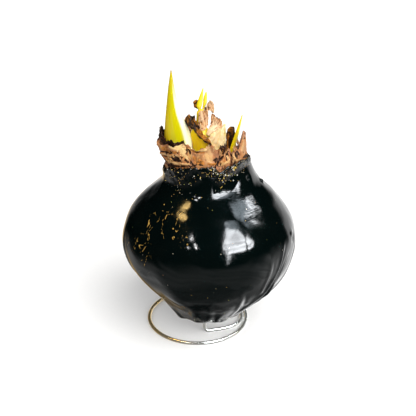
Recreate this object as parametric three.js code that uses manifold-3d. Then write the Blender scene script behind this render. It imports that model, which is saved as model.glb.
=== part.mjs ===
// A sprouting amaryllis bulb dipped in wax, standing on a coiled wire foot.
//
// Millimetres, +Z up. The model is built about the bulb's axis, which is also the axis of the
// foot's spike; -Y is the front. At the end the whole group is shifted in X and Y, so that the
// origin lies under the middle of the object, on the surface that it stands on.
//
// Angles round the bulb are in degrees, counter-clockwise from +X: 0 right, 180 left, 270 front.

import * as THREE from 'three';
import { mergeVertices } from 'three/addons/utils/BufferGeometryUtils.js';
import Module from 'manifold-3d';

const wasm = await Module();
wasm.setup();

// ---------------------------------------------------------------- driving dimensions

// Outer radius of the waxed bulb at each height, from its flat base to the cut edge of the wax.
const BASE_Z = 18;
const RIM_Z = 118;
const BODY_OUTLINE = [
	[ 16.4, BASE_Z + 0.6 ], [ 22.6, 22 ], [ 33.8, 35.2 ], [ 43.8, 48 ], [ 49.4, 60 ], [ 51, 72 ],
	[ 47.6, 84 ], [ 38.4, 96 ], [ 28.3, 107 ], [ 25.6, RIM_Z ],
];
const BODY_SEGMENTS = 40;

const GAP = 0.35; // between pieces that lie against each other
const WAX_THICKNESS = 1.6;
const TUNIC_THICKNESS = 0.9; // measured radially; the dry scales at the neck
const NECK_TOP_Z = 117;
const TUCK_Z = 106; // the dry scales reach down inside the wax to here

const WIRE_RADIUS = 1.1;
const RING_RADIUS = 31.7;
const RING_CENTRE = new THREE.Vector2( - 4.4, 17.7 );
const SPIKE_TOP_Z = 46;
const SPIKE_HOLE_RADIUS = WIRE_RADIUS + GAP;

// How far the middle of each section has moved from the spike's axis, along X.
const LEAN = [ [ 12, 1.2 ], [ 38, 4.4 ], [ 60, 3.5 ], [ 106, 3.4 ], [ 120, 1 ] ];

// Height of the wax's cut edge above RIM_Z, round the neck.
const RIM_RISE = [
	[ 0, 2.4 ], [ 35, - 0.8 ], [ 90, - 1.5 ], [ 180, - 4.4 ], [ 200, - 1.2 ], [ 225, 2.4 ],
	[ 252, 4.8 ], [ 278, 6 ], [ 289, 2 ], [ 300, 4.6 ], [ 320, 6 ], [ 335, 4.8 ], [ 360, 2.4 ],
];

// Broad swellings and dents of the wax: where, how high, and how wide, in mm.
const LUMPS = [
	{ at: 186, z: 66, rise: 1.7, wide: 13 },
	{ at: 168, z: 92, rise: 1.1, wide: 10 },
	{ at: 2, z: 47, rise: 1, wide: 10 },
	{ at: 350, z: 37, rise: 1.4, wide: 9 },
	{ at: 186, z: 104, rise: - 1.7, wide: 8 },
	{ at: 203, z: 26, rise: - 0.6, wide: 8 },
	{ at: 352, z: 103, rise: 0.8, wide: 9 },
	{ at: 336, z: 66, rise: - 1.3, wide: 10 },
	{ at: 301, z: 82, rise: 1.0, wide: 12 },
	{ at: 282, z: 60, rise: - 0.9, wide: 11 },
	{ at: 226, z: 78, rise: - 0.8, wide: 12 },
	{ at: 245, z: 45, rise: 0.9, wide: 14 },
	{ at: 120, z: 70, rise: 1.2, wide: 16 },
	{ at: 75, z: 52, rise: - 1.1, wide: 14 },
	{ at: 40, z: 84, rise: 0.9, wide: 12 },
];
const RIBS = 11; // soft upright ribs, where the scales press through the wax
const RIB_RISE = 0.35;

// ---------------------------------------------------------------- small helpers

const radians = THREE.MathUtils.degToRad;
const clamp = THREE.MathUtils.clamp;
const lerp = THREE.MathUtils.lerp;

function smooth( from, to, value ) {

	const t = clamp( ( value - from ) / ( to - from ), 0, 1 );
	return t * t * ( 3 - 2 * t );

}

// Eases from row to row of [ key, value ] rows, level at each row.
function along( rows, key ) {

	if ( key <= rows[ 0 ][ 0 ] ) return rows[ 0 ][ 1 ];
	const next = rows.findIndex( ( row ) => row[ 0 ] >= key );
	if ( next < 0 ) return rows[ rows.length - 1 ][ 1 ];
	const [ k0, v0 ] = rows[ next - 1 ];
	const [ k1, v1 ] = rows[ next ];
	return lerp( v0, v1, smooth( k0, k1, key ) );

}

// A smooth curve through [ key, value ] rows, with no flat spots at the rows.
function curve( rows, key ) {

	const last = rows.length - 1;
	const next = clamp( rows.findIndex( ( row ) => row[ 0 ] >= key ), 1, last );
	const index = key > rows[ last ][ 0 ] ? last : next;
	const [ k0, v0 ] = rows[ index - 1 ];
	const [ k1, v1 ] = rows[ index ];
	const before = rows[ Math.max( index - 2, 0 ) ];
	const after = rows[ Math.min( index + 1, last ) ];
	const span = k1 - k0;
	const t = clamp( ( key - k0 ) / span, 0, 1 );
	const m0 = ( v1 - before[ 1 ] ) / ( k1 - before[ 0 ] ) * span;
	const m1 = ( after[ 1 ] - v0 ) / ( after[ 0 ] - k0 ) * span;
	return ( 2 * t ** 3 - 3 * t ** 2 + 1 ) * v0 + ( t ** 3 - 2 * t ** 2 + t ) * m0
		+ ( 3 * t ** 2 - 2 * t ** 3 ) * v1 + ( t ** 3 - t ** 2 ) * m1;

}

const columnOf = ( rows, index ) => rows.map( ( row ) => [ row[ 0 ], row[ index ] ] );
const hill = ( u, v ) => Math.exp( - ( u * u + v * v ) );
const turned = ( degrees ) => ( ( degrees % 360 ) + 360 ) % 360;
const apart = ( a, b ) => Math.abs( turned( a - b + 180 ) - 180 );

// Moves every corner of a three.js geometry by a formula, and joins its seams into one closed skin.
function reshaped( geometry, formula ) {

	geometry.deleteAttribute( 'normal' );
	geometry.deleteAttribute( 'uv' );
	const position = geometry.getAttribute( 'position' );
	const corner = new THREE.Vector3();
	for ( let i = 0; i < position.count; i ++ ) {

		corner.fromBufferAttribute( position, i );
		position.setXYZ( i, ...formula( corner.x, corner.y, corner.z ) );

	}

	return mergeVertices( geometry, 1e-4 );

}

function solidOf( geometry ) {

	return new wasm.Manifold( new wasm.Mesh( {
		numProp: 3,
		vertProperties: new Float32Array( geometry.getAttribute( 'position' ).array ),
		triVerts: new Uint32Array( geometry.index.array ),
	} ) );

}

function geometryOf( solid ) {

	const mesh = solid.getMesh();
	return new THREE.BufferGeometry()
		.setAttribute( 'position', new THREE.BufferAttribute( new Float32Array( mesh.vertProperties ), 3 ) )
		.setIndex( new THREE.BufferAttribute( new Uint32Array( mesh.triVerts ), 1 ) );

}

function cut( body, ...tools ) {

	return geometryOf( tools.reduce( ( left, tool ) => left.subtract( solidOf( tool ) ), solidOf( body ) ) );

}

function piece( name, geometry, material ) {

	geometry.computeVertexNormals();
	const mesh = new THREE.Mesh( geometry, material );
	mesh.name = name;
	return mesh;

}

// ---------------------------------------------------------------- materials

function finish( color, roughness, metalness = 0 ) {

	return new THREE.MeshStandardMaterial( { color, roughness, metalness } );

}

const blackWax = finish( 0x0a0c0c, 0.15 );
const steel = finish( 0xc9c6bd, 0.2, 1 );
const flesh = finish( 0xe8dfa8, 0.5 );
const yellowLeaf = finish( 0xd9cf1e, 0.4 );
const paleLeaf = finish( 0xe6e0a0, 0.45 );
const brownTunic = finish( 0xa9744f, 0.8 );
const darkTunic = finish( 0x5a3018, 0.8 );
const paleTunic = finish( 0xd8b89a, 0.75 );

// ---------------------------------------------------------------- the bulb's surface

const outline = new THREE.SplineCurve( BODY_OUTLINE.map( ( [ r, z ] ) => new THREE.Vector2( r, z ) ) );
const outlinePoints = outline.getPoints( 200 );

// Radius of the plain outline at a height. Above the rim the neck goes straight up.
function bodyRadius( z ) {

	if ( z >= RIM_Z ) return BODY_OUTLINE[ BODY_OUTLINE.length - 1 ][ 0 ];
	const next = Math.max( 1, outlinePoints.findIndex( ( point ) => point.y >= z ) );
	const a = outlinePoints[ next - 1 ];
	const b = outlinePoints[ next ];
	return lerp( a.x, b.x, clamp( ( z - a.y ) / ( b.y - a.y ), 0, 1 ) );

}

function lump( degrees, z ) {

	const radius = bodyRadius( z );
	const calmNeck = 1 - 0.8 * smooth( 98, 110, z );
	let rise = RIB_RISE * Math.cos( radians( RIBS * degrees ) + z / 17 ) * ( 1 - smooth( 60, 92, z ) );
	for ( const { at, z: middle, rise: height, wide } of LUMPS ) {

		const across = radians( apart( degrees, at ) ) * radius;
		rise += height * hill( across / wide, ( z - middle ) / wide );

	}

	return rise * calmNeck;

}

// Where a point at that radius, angle and height lies once the bulb has its lean and its lumps.
// Both fade out towards the axis, so the spike's hole stays straight and round.
function onBulb( radius, degrees, z ) {

	const outer = smooth( SPIKE_HOLE_RADIUS, 14, radius );
	const r = radius + outer * lump( degrees, z );
	const angle = radians( degrees );
	return [ r * Math.cos( angle ) + outer * along( LEAN, z ), r * Math.sin( angle ), z ];

}

// A lathe profile of [ radius, height ] rows turned about Z, then given the bulb's shape.
// rise lifts the neck end of it round the rim, keeping each point's depth below the surface.
function bulbSkin( rows, segments, rise = () => 0 ) {

	const lathe = new THREE.LatheGeometry( rows.map( ( [ r, z ] ) => new THREE.Vector2( r, z ) ), segments );
	lathe.rotateX( Math.PI / 2 );
	return reshaped( lathe, ( x, y, z ) => {

		const degrees = turned( THREE.MathUtils.radToDeg( Math.atan2( y, x ) ) );
		const lifted = z + rise( degrees ) * smooth( TUCK_Z, RIM_Z, z );
		const radius = Math.hypot( x, y );
		const settled = z > TUCK_Z ? radius + bodyRadius( lifted ) - bodyRadius( z ) : radius;
		return onBulb( settled, degrees, lifted );

	} );

}

function stations( from, to, count ) {

	return Array.from( { length: count + 1 }, ( _, i ) => lerp( from, to, i / count ) );

}

const BODY_STATIONS = [ 20.5, 25, 30, 36, 43, 51, 60, 70, 80, 87, 93, 98.5, 104 ];

// Low down, where the bulb's side slopes in to its foot, a wall of even thickness measures more
// along the radius.
const wallShare = ( z ) => lerp( 1.7, 1, smooth( BASE_Z, 34, z ) );

// The black wax: a skin over the bulb, open round the neck and pierced by the spike.
function waxCoat() {

	const lipInset = WAX_THICKNESS * 0.35;
	const rim = bodyRadius( RIM_Z );
	const base = BODY_OUTLINE[ 0 ][ 0 ];
	const outside = [ ...BODY_STATIONS, 109, 113.5 ].map( ( z ) => [ bodyRadius( z ), z ] );
	const inside = outside.slice().reverse().map( ( [ r, z ] ) => [ r - WAX_THICKNESS * wallShare( z ), z ] );
	return bulbSkin( [
		[ SPIKE_HOLE_RADIUS, BASE_Z ],
		[ 9, BASE_Z + 0.2 ],
		[ base - 2, BASE_Z ],
		[ base, BASE_Z + 0.6 ],
		...outside,
		[ rim, RIM_Z - 0.8 ],
		[ rim - lipInset, RIM_Z ],
		[ rim - WAX_THICKNESS + 0.2, RIM_Z - 0.2 ],
		...inside,
		[ base - 1, BASE_Z + WAX_THICKNESS ],
		[ 9, BASE_Z + WAX_THICKNESS ],
		[ SPIKE_HOLE_RADIUS, BASE_Z + WAX_THICKNESS ],
		[ SPIKE_HOLE_RADIUS, BASE_Z ],
	], BODY_SEGMENTS, ( degrees ) => along( RIM_RISE, degrees ) );

}

// The bulb itself: its basal plate, its fleshy body and the neck, whose cut scales show as rings.
const WAX_AND_GAP = WAX_THICKNESS + GAP;
const TUNIC_STEP = TUNIC_THICKNESS + GAP + 0.15;
const NECK_INSET = WAX_AND_GAP + 2 * TUNIC_STEP;
const SCALE_RINGS = 3;

function bulbBody() {

	const base = BASE_Z + WAX_AND_GAP;
	const neck = bodyRadius( RIM_Z ) - NECK_INSET;
	const rings = [];
	for ( let i = 0; i < SCALE_RINGS; i ++ ) {

		const outer = lerp( neck, 5, i / SCALE_RINGS );
		const inner = lerp( neck, 5, ( i + 0.8 ) / SCALE_RINGS );
		rings.push( [ outer, NECK_TOP_Z + 0.6 ], [ inner + 0.6, NECK_TOP_Z + 1 ], [ inner, NECK_TOP_Z - 1 ] );

	}

	return bulbSkin( [
		[ 0, SPIKE_TOP_Z + GAP ],
		[ SPIKE_HOLE_RADIUS, SPIKE_TOP_Z + GAP ],
		[ SPIKE_HOLE_RADIUS, base ],
		[ 13, base ],
		...BODY_STATIONS.map( ( z ) => [ bodyRadius( z ) - WAX_AND_GAP * wallShare( z ), z ] ),
		...stations( TUCK_Z - 0.5, NECK_TOP_Z - 1.5, 3 ).map( ( z ) => [ bodyRadius( z ) - NECK_INSET - 0.1, z ] ),
		...rings,
		[ 0, NECK_TOP_Z - 0.5 ],
	], BODY_SEGMENTS / 2 );

}

// ---------------------------------------------------------------- dry scales round the neck

// Above the wax the dry scales lean in or out and pucker. One field moves them all, so that
// scales which lie over one another keep their distance.
const SCALE_LEAN = [
	[ 0, - 1.3 ], [ 60, - 1.6 ], [ 130, 0.2 ], [ 166, 3.2 ], [ 192, 3.4 ], [ 216, 0.8 ], [ 250, - 2 ],
	[ 300, - 2.6 ], [ 336, - 1.2 ], [ 360, - 1.3 ],
];

// The corners of every dry scale lie at these heights, up to its own edge, and at these steps
// in degrees, so that neighbours nest.
const SCALE_HEIGHTS = [ TUCK_Z + GAP, 109, 113, 117.5, 121, 124.5, 128 ];
const SCALE_STEP = 4;

function pucker( degrees, z ) {

	const lean = along( SCALE_LEAN, degrees );
	const held = Math.max( RIM_Z + along( RIM_RISE, degrees ), NECK_TOP_Z + 1.5 );
	const free = smooth( 0, 8, z - held );
	const angle = radians( degrees );
	const folds = 0.6 * Math.sin( 9 * angle + z * 0.13 ) + 0.4 * Math.sin( 17 * angle - z * 0.1 );
	return free * ( lean + folds );

}

// A torn edge: the same ragged line wherever it is read.
function ragged( degrees, size ) {

	const wide = Math.sin( radians( degrees * 14 ) );
	const narrow = Math.sin( radians( degrees * 37 + 50 ) );
	return size * ( 0.6 * wide + 0.4 * narrow );

}

// One dry scale: from its root inside the wax up to its torn edge, whose height is given in
// [ degrees, height ] rows. layer 0 lies against the wax, and layer 1 inside that. curl is a
// small place that sticks out: where, how far, and how wide in degrees and in height.
function dryScale( { edge, layer, curl, tear = 0.7 } ) {

	const from = edge[ 0 ][ 0 ];
	const to = edge[ edge.length - 1 ][ 0 ];
	const columns = ( to - from ) / SCALE_STEP;
	const rows = SCALE_HEIGHTS.length;
	const inset = WAX_AND_GAP + TUNIC_THICKNESS / 2 + layer * TUNIC_STEP;
	return reshaped( new THREE.BoxGeometry( 1, 1, 1, columns, rows, 1 ), ( x, y, side ) => {

		const degrees = lerp( from, to, x + 0.5 );
		const top = along( edge, degrees ) + ragged( degrees, tear );
		const row = Math.round( ( y + 0.5 ) * rows );
		const z = Math.min( SCALE_HEIGHTS[ row ] ?? top, top - 0.5 * ( rows - row ) );
		const flat = bodyRadius( z ) - inset + side * TUNIC_THICKNESS + pucker( turned( degrees ), z );
		const curled = curl ? curl.out * hill( ( degrees - curl.at ) / curl.wide, ( z - curl.z ) / curl.high ) : 0;
		return onBulb( flat + curled, turned( degrees ), z );

	} );

}

const DRY_SCALES = {
	tunic_left: {
		layer: 0, curl: { at: 186, z: 130.6, out: 3, wide: 5, high: 3.2 },
		edge: [ [ 156, 127 ], [ 170, 130 ], [ 184, 131.4 ], [ 192, 130.8 ], [ 204, 131.6 ] ],
	},
	tunic_front: {
		layer: 0,
		edge: [
			[ 208, 131.8 ], [ 219, 132.6 ], [ 242, 133.8 ], [ 252, 131.8 ], [ 266, 131.6 ], [ 272, 134.6 ],
			[ 280, 135.4 ], [ 286, 130.5 ], [ 292, 131.5 ], [ 298, 133.5 ], [ 304, 129.5 ],
		],
	},
	tunic_right: {
		layer: 0, tear: 0.5,
		edge: [
			[ 308, 126 ], [ 313, 128 ], [ 318, 131.2 ], [ 323, 133.8 ], [ 328, 138.4 ], [ 338, 138.8 ],
			[ 345, 137.4 ], [ 348, 130 ], [ 354, 126 ], [ 372, 124 ],
		],
	},
	tunic_back: {
		layer: 0, tear: 1.2,
		edge: [ [ 40, 121 ], [ 70, 123 ], [ 92, 128 ], [ 118, 132 ], [ 136, 128 ], [ 152, 129 ] ],
	},
	tunic_inner_left: {
		layer: 1, tear: 0.9,
		edge: [
			[ 156, 130 ], [ 164, 134 ], [ 173, 138.4 ], [ 184, 137.4 ], [ 192, 134.6 ], [ 218, 135 ], [ 238, 135 ],
			[ 252, 130 ],
		],
	},
	tunic_inner_right: {
		layer: 1, tear: 1,
		edge: [
			[ 292, 130 ], [ 296, 133.5 ], [ 302, 134.5 ], [ 310, 129 ], [ 330, 128 ], [ 352, 125 ], [ 384, 122 ],
		],
	},
};

// ---------------------------------------------------------------- shoots and leaves

// A tapering leaf or bud: each row gives height, middle ( x, y ), half width and half depth.
// keel sharpens its front and back into a ridge, turn swings its width round Z, and grow makes
// it larger all round, for the socket that it stands in.
function tapered( { rows, sides = 10, steps = 8, keel = 0, turn = 0 }, grow = 0 ) {

	const [ middleX, middleY, halfWidth, halfDepth ] = [ 1, 2, 3, 4 ].map( ( index ) => columnOf( rows, index ) );
	const swing = radians( turn );
	const tube = new THREE.CylinderGeometry( 1, 1, 1, sides, steps ).rotateX( Math.PI / 2 );
	return reshaped( tube, ( x, y, z ) => {

		const height = lerp( rows[ 0 ][ 0 ] - grow, rows[ rows.length - 1 ][ 0 ] + grow, z + 0.5 );
		const angle = Math.atan2( y, x );
		const ridge = 1 + keel * Math.abs( Math.sin( angle ) ) ** 3;
		const across = x * ( curve( halfWidth, height ) + grow );
		const deep = y * ridge * ( curve( halfDepth, height ) + grow );
		return [
			curve( middleX, height ) + across * Math.cos( swing ) - deep * Math.sin( swing ),
			curve( middleY, height ) + across * Math.sin( swing ) + deep * Math.cos( swing ),
			height,
		];

	} );

}

// The large bud at the left, a broad spear with a blunt keel.
const LARGE_SHOOT = {
	rows: [
		[ 112, - 13.2, - 1.5, 4.6, 4 ],
		[ 120, - 13.8, - 1.8, 5.8, 4.8 ],
		[ 127, - 14.9, - 2, 7.2, 5.2 ],
		[ 132, - 15.3, - 1.8, 7.2, 4.9 ],
		[ 138, - 15.9, - 1.4, 6.3, 4.3 ],
		[ 148, - 17.3, - 0.8, 4, 3 ],
		[ 160, - 18, - 0.3, 1.9, 1.6 ],
		[ 170.5, - 18, 0, 0.3, 0.3 ],
	],
	keel: 0.12, sides: 16, steps: 14,
};

// The bundle of unopened leaves in the middle. It narrows into a neck at the left.
const CENTRE_SHOOT = {
	rows: [
		[ 110, 2, 0.5, 6.8, 6.5 ],
		[ 119, 1.6, 0, 8, 7.6 ],
		[ 127, 1.5, 0, 8.2, 7.8 ],
		[ 131.5, 0.5, 0, 8, 7.4 ],
		[ 135, - 1.9, - 0.2, 5.8, 5.4 ],
		[ 138, - 2.2, - 0.4, 3.6, 3.4 ],
		[ 141.5, - 1.9, - 0.4, 2.5, 2.3 ],
		[ 148.4, - 1.7, - 0.4, 2.4, 2.4 ],
	],
	sides: 20, steps: 14,
};

const LEAF_TIPS = {
	leaf_tip_left: {
		rows: [
			[ 144, - 2.5, - 0.9, 0.5, 0.5 ],
			[ 148, - 2.6, - 0.95, 0.55, 0.5 ],
			[ 150.6, - 2.7, - 0.9, 1.5, 1.1 ],
			[ 155, - 1.7, - 0.6, 1.2, 0.9 ],
			[ 160.6, - 0.5, - 0.4, 0.25, 0.25 ],
		],
	},
	leaf_tip_right: {
		rows: [
			[ 144, - 0.5, 0, 0.4, 0.45 ],
			[ 148.6, - 0.4, 0, 0.5, 0.5 ],
			[ 151.4, 0.4, 0, 1, 0.9 ],
			[ 155, 0.8, 0.2, 1, 0.8 ],
			[ 158, 1.2, 0.3, 0.45, 0.4 ],
		],
		steps: 6,
	},

	// shrivelled and brown
	leaf_tip_dead: {
		rows: [
			[ 144.6, - 2.3, 0.85, 0.4, 0.4 ],
			[ 147.6, - 2.6, 0.95, 0.4, 0.4 ],
			[ 149.2, - 4.3, 1.8, 1.3, 1 ],
			[ 151.8, - 4.5, 1.9, 1.4, 1.1 ],
			[ 153.2, - 4.1, 1.9, 0.5, 0.5 ],
		],
		material: darkTunic,
	},
};

const THIN_LEAF = {
	rows: [
		[ 113, 12.6, - 5.4, 1.7, 1.1 ],
		[ 122, 14.6, - 4.8, 1.4, 1 ],
		[ 134, 18.2, - 3.4, 1.2, 0.9 ],
		[ 145.5, 21.3, - 2, 0.3, 0.3 ],
	],
	turn: 20,
};

// A torn, dark inner scale that stands in the neck between the bundle and the thin leaf.
const SHARD = {
	rows: [
		[ 114, 14.8, 1.2, 2.5, 0.7 ],
		[ 124, 15.1, 1.3, 2.7, 0.65 ],
		[ 132, 15.2, 1.3, 2.6, 0.6 ],
		[ 136, 15.3, 1.2, 2.2, 0.5 ],
		[ 138, 15.8, 1.2, 1.2, 0.4 ],
	],
	turn: - 12,
};

// ---------------------------------------------------------------- scales of the middle bundle

// A scale wrapped round an upright axis, given in [ height, x, y, radius ] rows of its middle
// surface. Its lower and upper edges run round in [ degrees, height ] rows. It swells outwards
// by bulge half-way up, and leans out by lean at its upper edge.
function wrap( scale ) {

	const { axis, low, high, bulge = 0, lean = 0, folds = 0.5, tear = 0.6 } = scale;
	const { thick = TUNIC_THICKNESS, columns = 14, rows = 6 } = scale;
	const from = low[ 0 ][ 0 ];
	const to = low[ low.length - 1 ][ 0 ];
	const [ middleX, middleY, axisRadius ] = [ 1, 2, 3 ].map( ( index ) => columnOf( axis, index ) );
	return reshaped( new THREE.BoxGeometry( 1, 1, 1, columns, rows, 1 ), ( x, y, side ) => {

		const degrees = lerp( from, to, x + 0.5 );
		const t = y + 0.5;
		const z = lerp( along( low, degrees ), along( high, degrees ) + ragged( degrees, tear ), t );
		const angle = radians( degrees );
		const fold = folds * smooth( 0, 0.4, t ) * ( Math.sin( 11 * angle + z * 0.9 ) + 1 );
		const stand = bulge * Math.sin( Math.PI * t ) ** 1.5 + lean * t ** 3 + fold;
		const radius = curve( axisRadius, z ) + thick * side + stand;
		return [
			curve( middleX, z ) + radius * Math.cos( angle ),
			curve( middleY, z ) + radius * Math.sin( angle ),
			z,
		];

	} );

}

// The bundle's own axis, with room for a scale of that thickness to lie against it.
function againstBundle( thick ) {

	const room = GAP + 0.2 + thick / 2;
	return CENTRE_SHOOT.rows.map( ( [ z, x, y, radius ] ) => [ z, x, y, radius + room ] );

}

const BUNDLE_SCALES = {

	// Fleshy and pale, and open at the left, where the bundle shows.
	scale_pale: {
		material: paleLeaf,
		axis: [ [ 118, 1.6, 0, 9.4 ], [ 128, 1.5, 0, 9.7 ], [ 141, 1.6, 0, 9.5 ] ],
		low: [ [ 274, NECK_TOP_Z + 1.6 ], [ 390, NECK_TOP_Z + 1.6 ] ],
		high: [ [ 274, 134.6 ], [ 284, 137.6 ], [ 315, 139.4 ], [ 345, 139.4 ], [ 366, 139 ], [ 390, 135 ] ],
		thick: 1.7, folds: 0.15, tear: 0.4, columns: 16,
	},

	// Dark and rolled, slanting across the front from high at the left to low at the right.
	cap_roll: {
		material: darkTunic,
		axis: [
			[ 131, 1.5, 0, 11.6 ],
			[ 134, 0.6, - 0.2, 10.4 ],
			[ 137, - 1, - 0.4, 8 ],
			[ 140, - 1.7, - 0.4, 6.8 ],
			[ 143, - 1.8, - 0.4, 6.2 ],
			[ 146, - 1.9, - 0.4, 5.8 ],
		],
		low: [
			[ 120, 138 ], [ 165, 138.6 ], [ 196, 139 ], [ 214, 139.2 ], [ 230, 138.6 ], [ 244, 137.2 ],
			[ 258, 135.4 ], [ 270, 133.6 ],
		],
		high: [
			[ 120, 141 ], [ 165, 144 ], [ 196, 145 ], [ 214, 145.8 ], [ 236, 146.2 ], [ 248, 145 ], [ 258, 142 ],
			[ 270, 137.6 ],
		],
		bulge: 1.1, lean: 0.2, folds: 0.5, columns: 18, rows: 7,
	},

	// A thin sheath round the bundle's neck.
	cap_sheath: {
		material: paleTunic,
		axis: againstBundle( TUNIC_THICKNESS ),
		low: [ [ 252, 139.4 ], [ 286, 137.6 ], [ 305, 138 ], [ 330, 139.4 ], [ 420, 139.6 ] ],
		high: [ [ 252, 147.4 ], [ 300, 147.7 ], [ 420, 148 ] ],
		bulge: 0.2, folds: 0.15, tear: 0.4,
	},

	// A pale crumpled hood, at the right of the neck. It widens downwards into a collar that
	// fills the mouth of the pale scale in front.
	cap_hood: {
		material: paleTunic,
		axis: [
			[ 135.6, 2.4, 0, 6.8 ],
			[ 138, 4.9, - 0.2, 4.6 ],
			[ 140, 6.8, - 0.3, 2.9 ],
			[ 142, 7.1, - 0.2, 2.6 ],
			[ 145.5, 6.5, 0, 1.7 ],
		],
		low: [
			[ 20, 138.6 ], [ 60, 139.6 ], [ 200, 140 ], [ 225, 139.6 ], [ 245, 138.2 ], [ 258, 136.8 ],
			[ 275, 136 ], [ 300, 135.8 ], [ 340, 136 ],
		],
		high: [ [ 20, 140.5 ], [ 60, 142.5 ], [ 150, 145.2 ], [ 240, 144.8 ], [ 300, 143.2 ], [ 340, 140.5 ] ],
		folds: 0.12, tear: 0.3, columns: 20, rows: 8,
	},

	// A thick torn frill, above the sheath, that droops at the right towards the hood.
	cap_frill: {
		material: paleTunic,
		axis: [ [ 146, 3.7, 0, 1.5 ], [ 150, 3.6, 0, 1.45 ], [ 154, 3.5, 0, 1.3 ] ],
		low: [ [ 225, 148.6 ], [ 270, 148.4 ], [ 310, 147.6 ], [ 335, 146.4 ], [ 400, 146.2 ] ],
		high: [ [ 225, 151.6 ], [ 250, 153.2 ], [ 280, 153.8 ], [ 320, 153.2 ], [ 350, 151.6 ], [ 400, 149.6 ] ],
		thick: 1.1, folds: 0.12, tear: 0.2, columns: 10, rows: 5,
	},
};

// ---------------------------------------------------------------- the wire foot

// One wire: down the spike, round a tight bend, then outwards in a flat coil of one and a
// third turns. The coil's radius about the ring's centre grows until the wire lies on the ring.
class FootPath extends THREE.Curve {

	constructor() {

		super();
		this.bend = 3;
		this.spikeShare = 0.03; // shares of the curve's parameter, and so of its steps
		this.bendShare = 0.09;
		const start = new THREE.Vector2( this.bend, 0 ).sub( RING_CENTRE );
		this.startAngle = start.angle() - 2 * Math.PI;
		this.startRadius = start.length();
		this.endAngle = radians( 395 );

	}

	coilRadius( angle ) {

		const free = RING_RADIUS - 2 * WIRE_RADIUS - 1; // clear of the turn outside it
		const toFree = smooth( this.startAngle, radians( - 5 ), angle );
		const toRing = smooth( radians( 30 ), radians( 125 ), angle );
		return lerp( lerp( this.startRadius, free, toFree ), RING_RADIUS, toRing );

	}

	getPoint( t, target = new THREE.Vector3() ) {

		const bendTop = WIRE_RADIUS + this.bend;
		if ( t < this.spikeShare ) return target.set( 0, 0, lerp( SPIKE_TOP_Z, bendTop, t / this.spikeShare ) );
		if ( t < this.spikeShare + this.bendShare ) {

			const angle = ( t - this.spikeShare ) / this.bendShare * Math.PI / 2;
			const out = this.bend * ( 1 - Math.cos( angle ) );
			return target.set( out, 0, bendTop - this.bend * Math.sin( angle ) );

		}

		const share = ( t - this.spikeShare - this.bendShare ) / ( 1 - this.spikeShare - this.bendShare );
		const angle = lerp( this.startAngle, this.endAngle, share );
		const radius = this.coilRadius( angle );
		const x = RING_CENTRE.x + radius * Math.cos( angle );
		const y = RING_CENTRE.y + radius * Math.sin( angle );
		return target.set( x, y, WIRE_RADIUS );

	}

	// The steps follow the parameter, so that the bend gets short ones.
	getUtoTmapping( u ) {

		return u;

	}

}

function wireFoot() {

	const sides = 8;
	const section = new THREE.Shape();
	for ( let i = 0; i < sides; i ++ ) {

		const angle = ( i + 0.5 ) / sides * 2 * Math.PI; // a flat side faces the surface below
		const corner = WIRE_RADIUS / Math.cos( Math.PI / sides );
		section[ i ? 'lineTo' : 'moveTo' ]( corner * Math.cos( angle ), corner * Math.sin( angle ) );

	}

	section.closePath();
	const wire = new THREE.ExtrudeGeometry( section, { steps: 66, extrudePath: new FootPath() } );
	const worn = 0.1; // the underside is worn flat, so the coil stands on one level face
	return reshaped( wire, ( x, y, z ) => [ x, y, z < worn ? 0 : z ] );

}

// ---------------------------------------------------------------- assembly

const amaryllis = new THREE.Group();

const sockets = [ LARGE_SHOOT, CENTRE_SHOOT, THIN_LEAF, SHARD ].map( ( shoot ) => tapered( shoot, GAP ) );
const tips = Object.entries( LEAF_TIPS );
const tipSockets = tips.map( ( [ , tip ] ) => tapered( tip, GAP ) );

amaryllis.add(
	piece( 'wire_foot', wireFoot(), steel ),
	piece( 'wax_coat', waxCoat(), blackWax ),
	piece( 'bulb', cut( bulbBody(), ...sockets ), flesh ),
	piece( 'shoot_large', tapered( LARGE_SHOOT ), yellowLeaf ),
	piece( 'shoot_centre', cut( tapered( CENTRE_SHOOT ), ...tipSockets ), yellowLeaf ),
	piece( 'leaf_thin', tapered( THIN_LEAF ), yellowLeaf ),
	piece( 'tunic_shard', tapered( SHARD ), darkTunic ),
);
for ( const [ name, tip ] of tips ) {

	amaryllis.add( piece( name, tapered( tip ), tip.material ?? yellowLeaf ) );

}

for ( const [ name, scale ] of Object.entries( DRY_SCALES ) ) {

	amaryllis.add( piece( name, dryScale( scale ), brownTunic ) );

}

for ( const [ name, scale ] of Object.entries( BUNDLE_SCALES ) ) {

	amaryllis.add( piece( name, wrap( scale ), scale.material ) );

}

// The origin goes under the middle of the object's box.
const middle = new THREE.Box3().setFromObject( amaryllis ).getCenter( new THREE.Vector3() );
amaryllis.position.set( - middle.x, - middle.y, 0 );

export default amaryllis;
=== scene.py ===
"""A sprouting amaryllis bulb dipped in black wax, on a coiled wire foot.

Shapes are worked out in millimetres about the axis of the foot's spike, with -Y in front and
angles round the bulb in degrees, counter-clockwise from +X (180 left, 270 front). place() turns
them into metres in the row's frame.
"""

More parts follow.
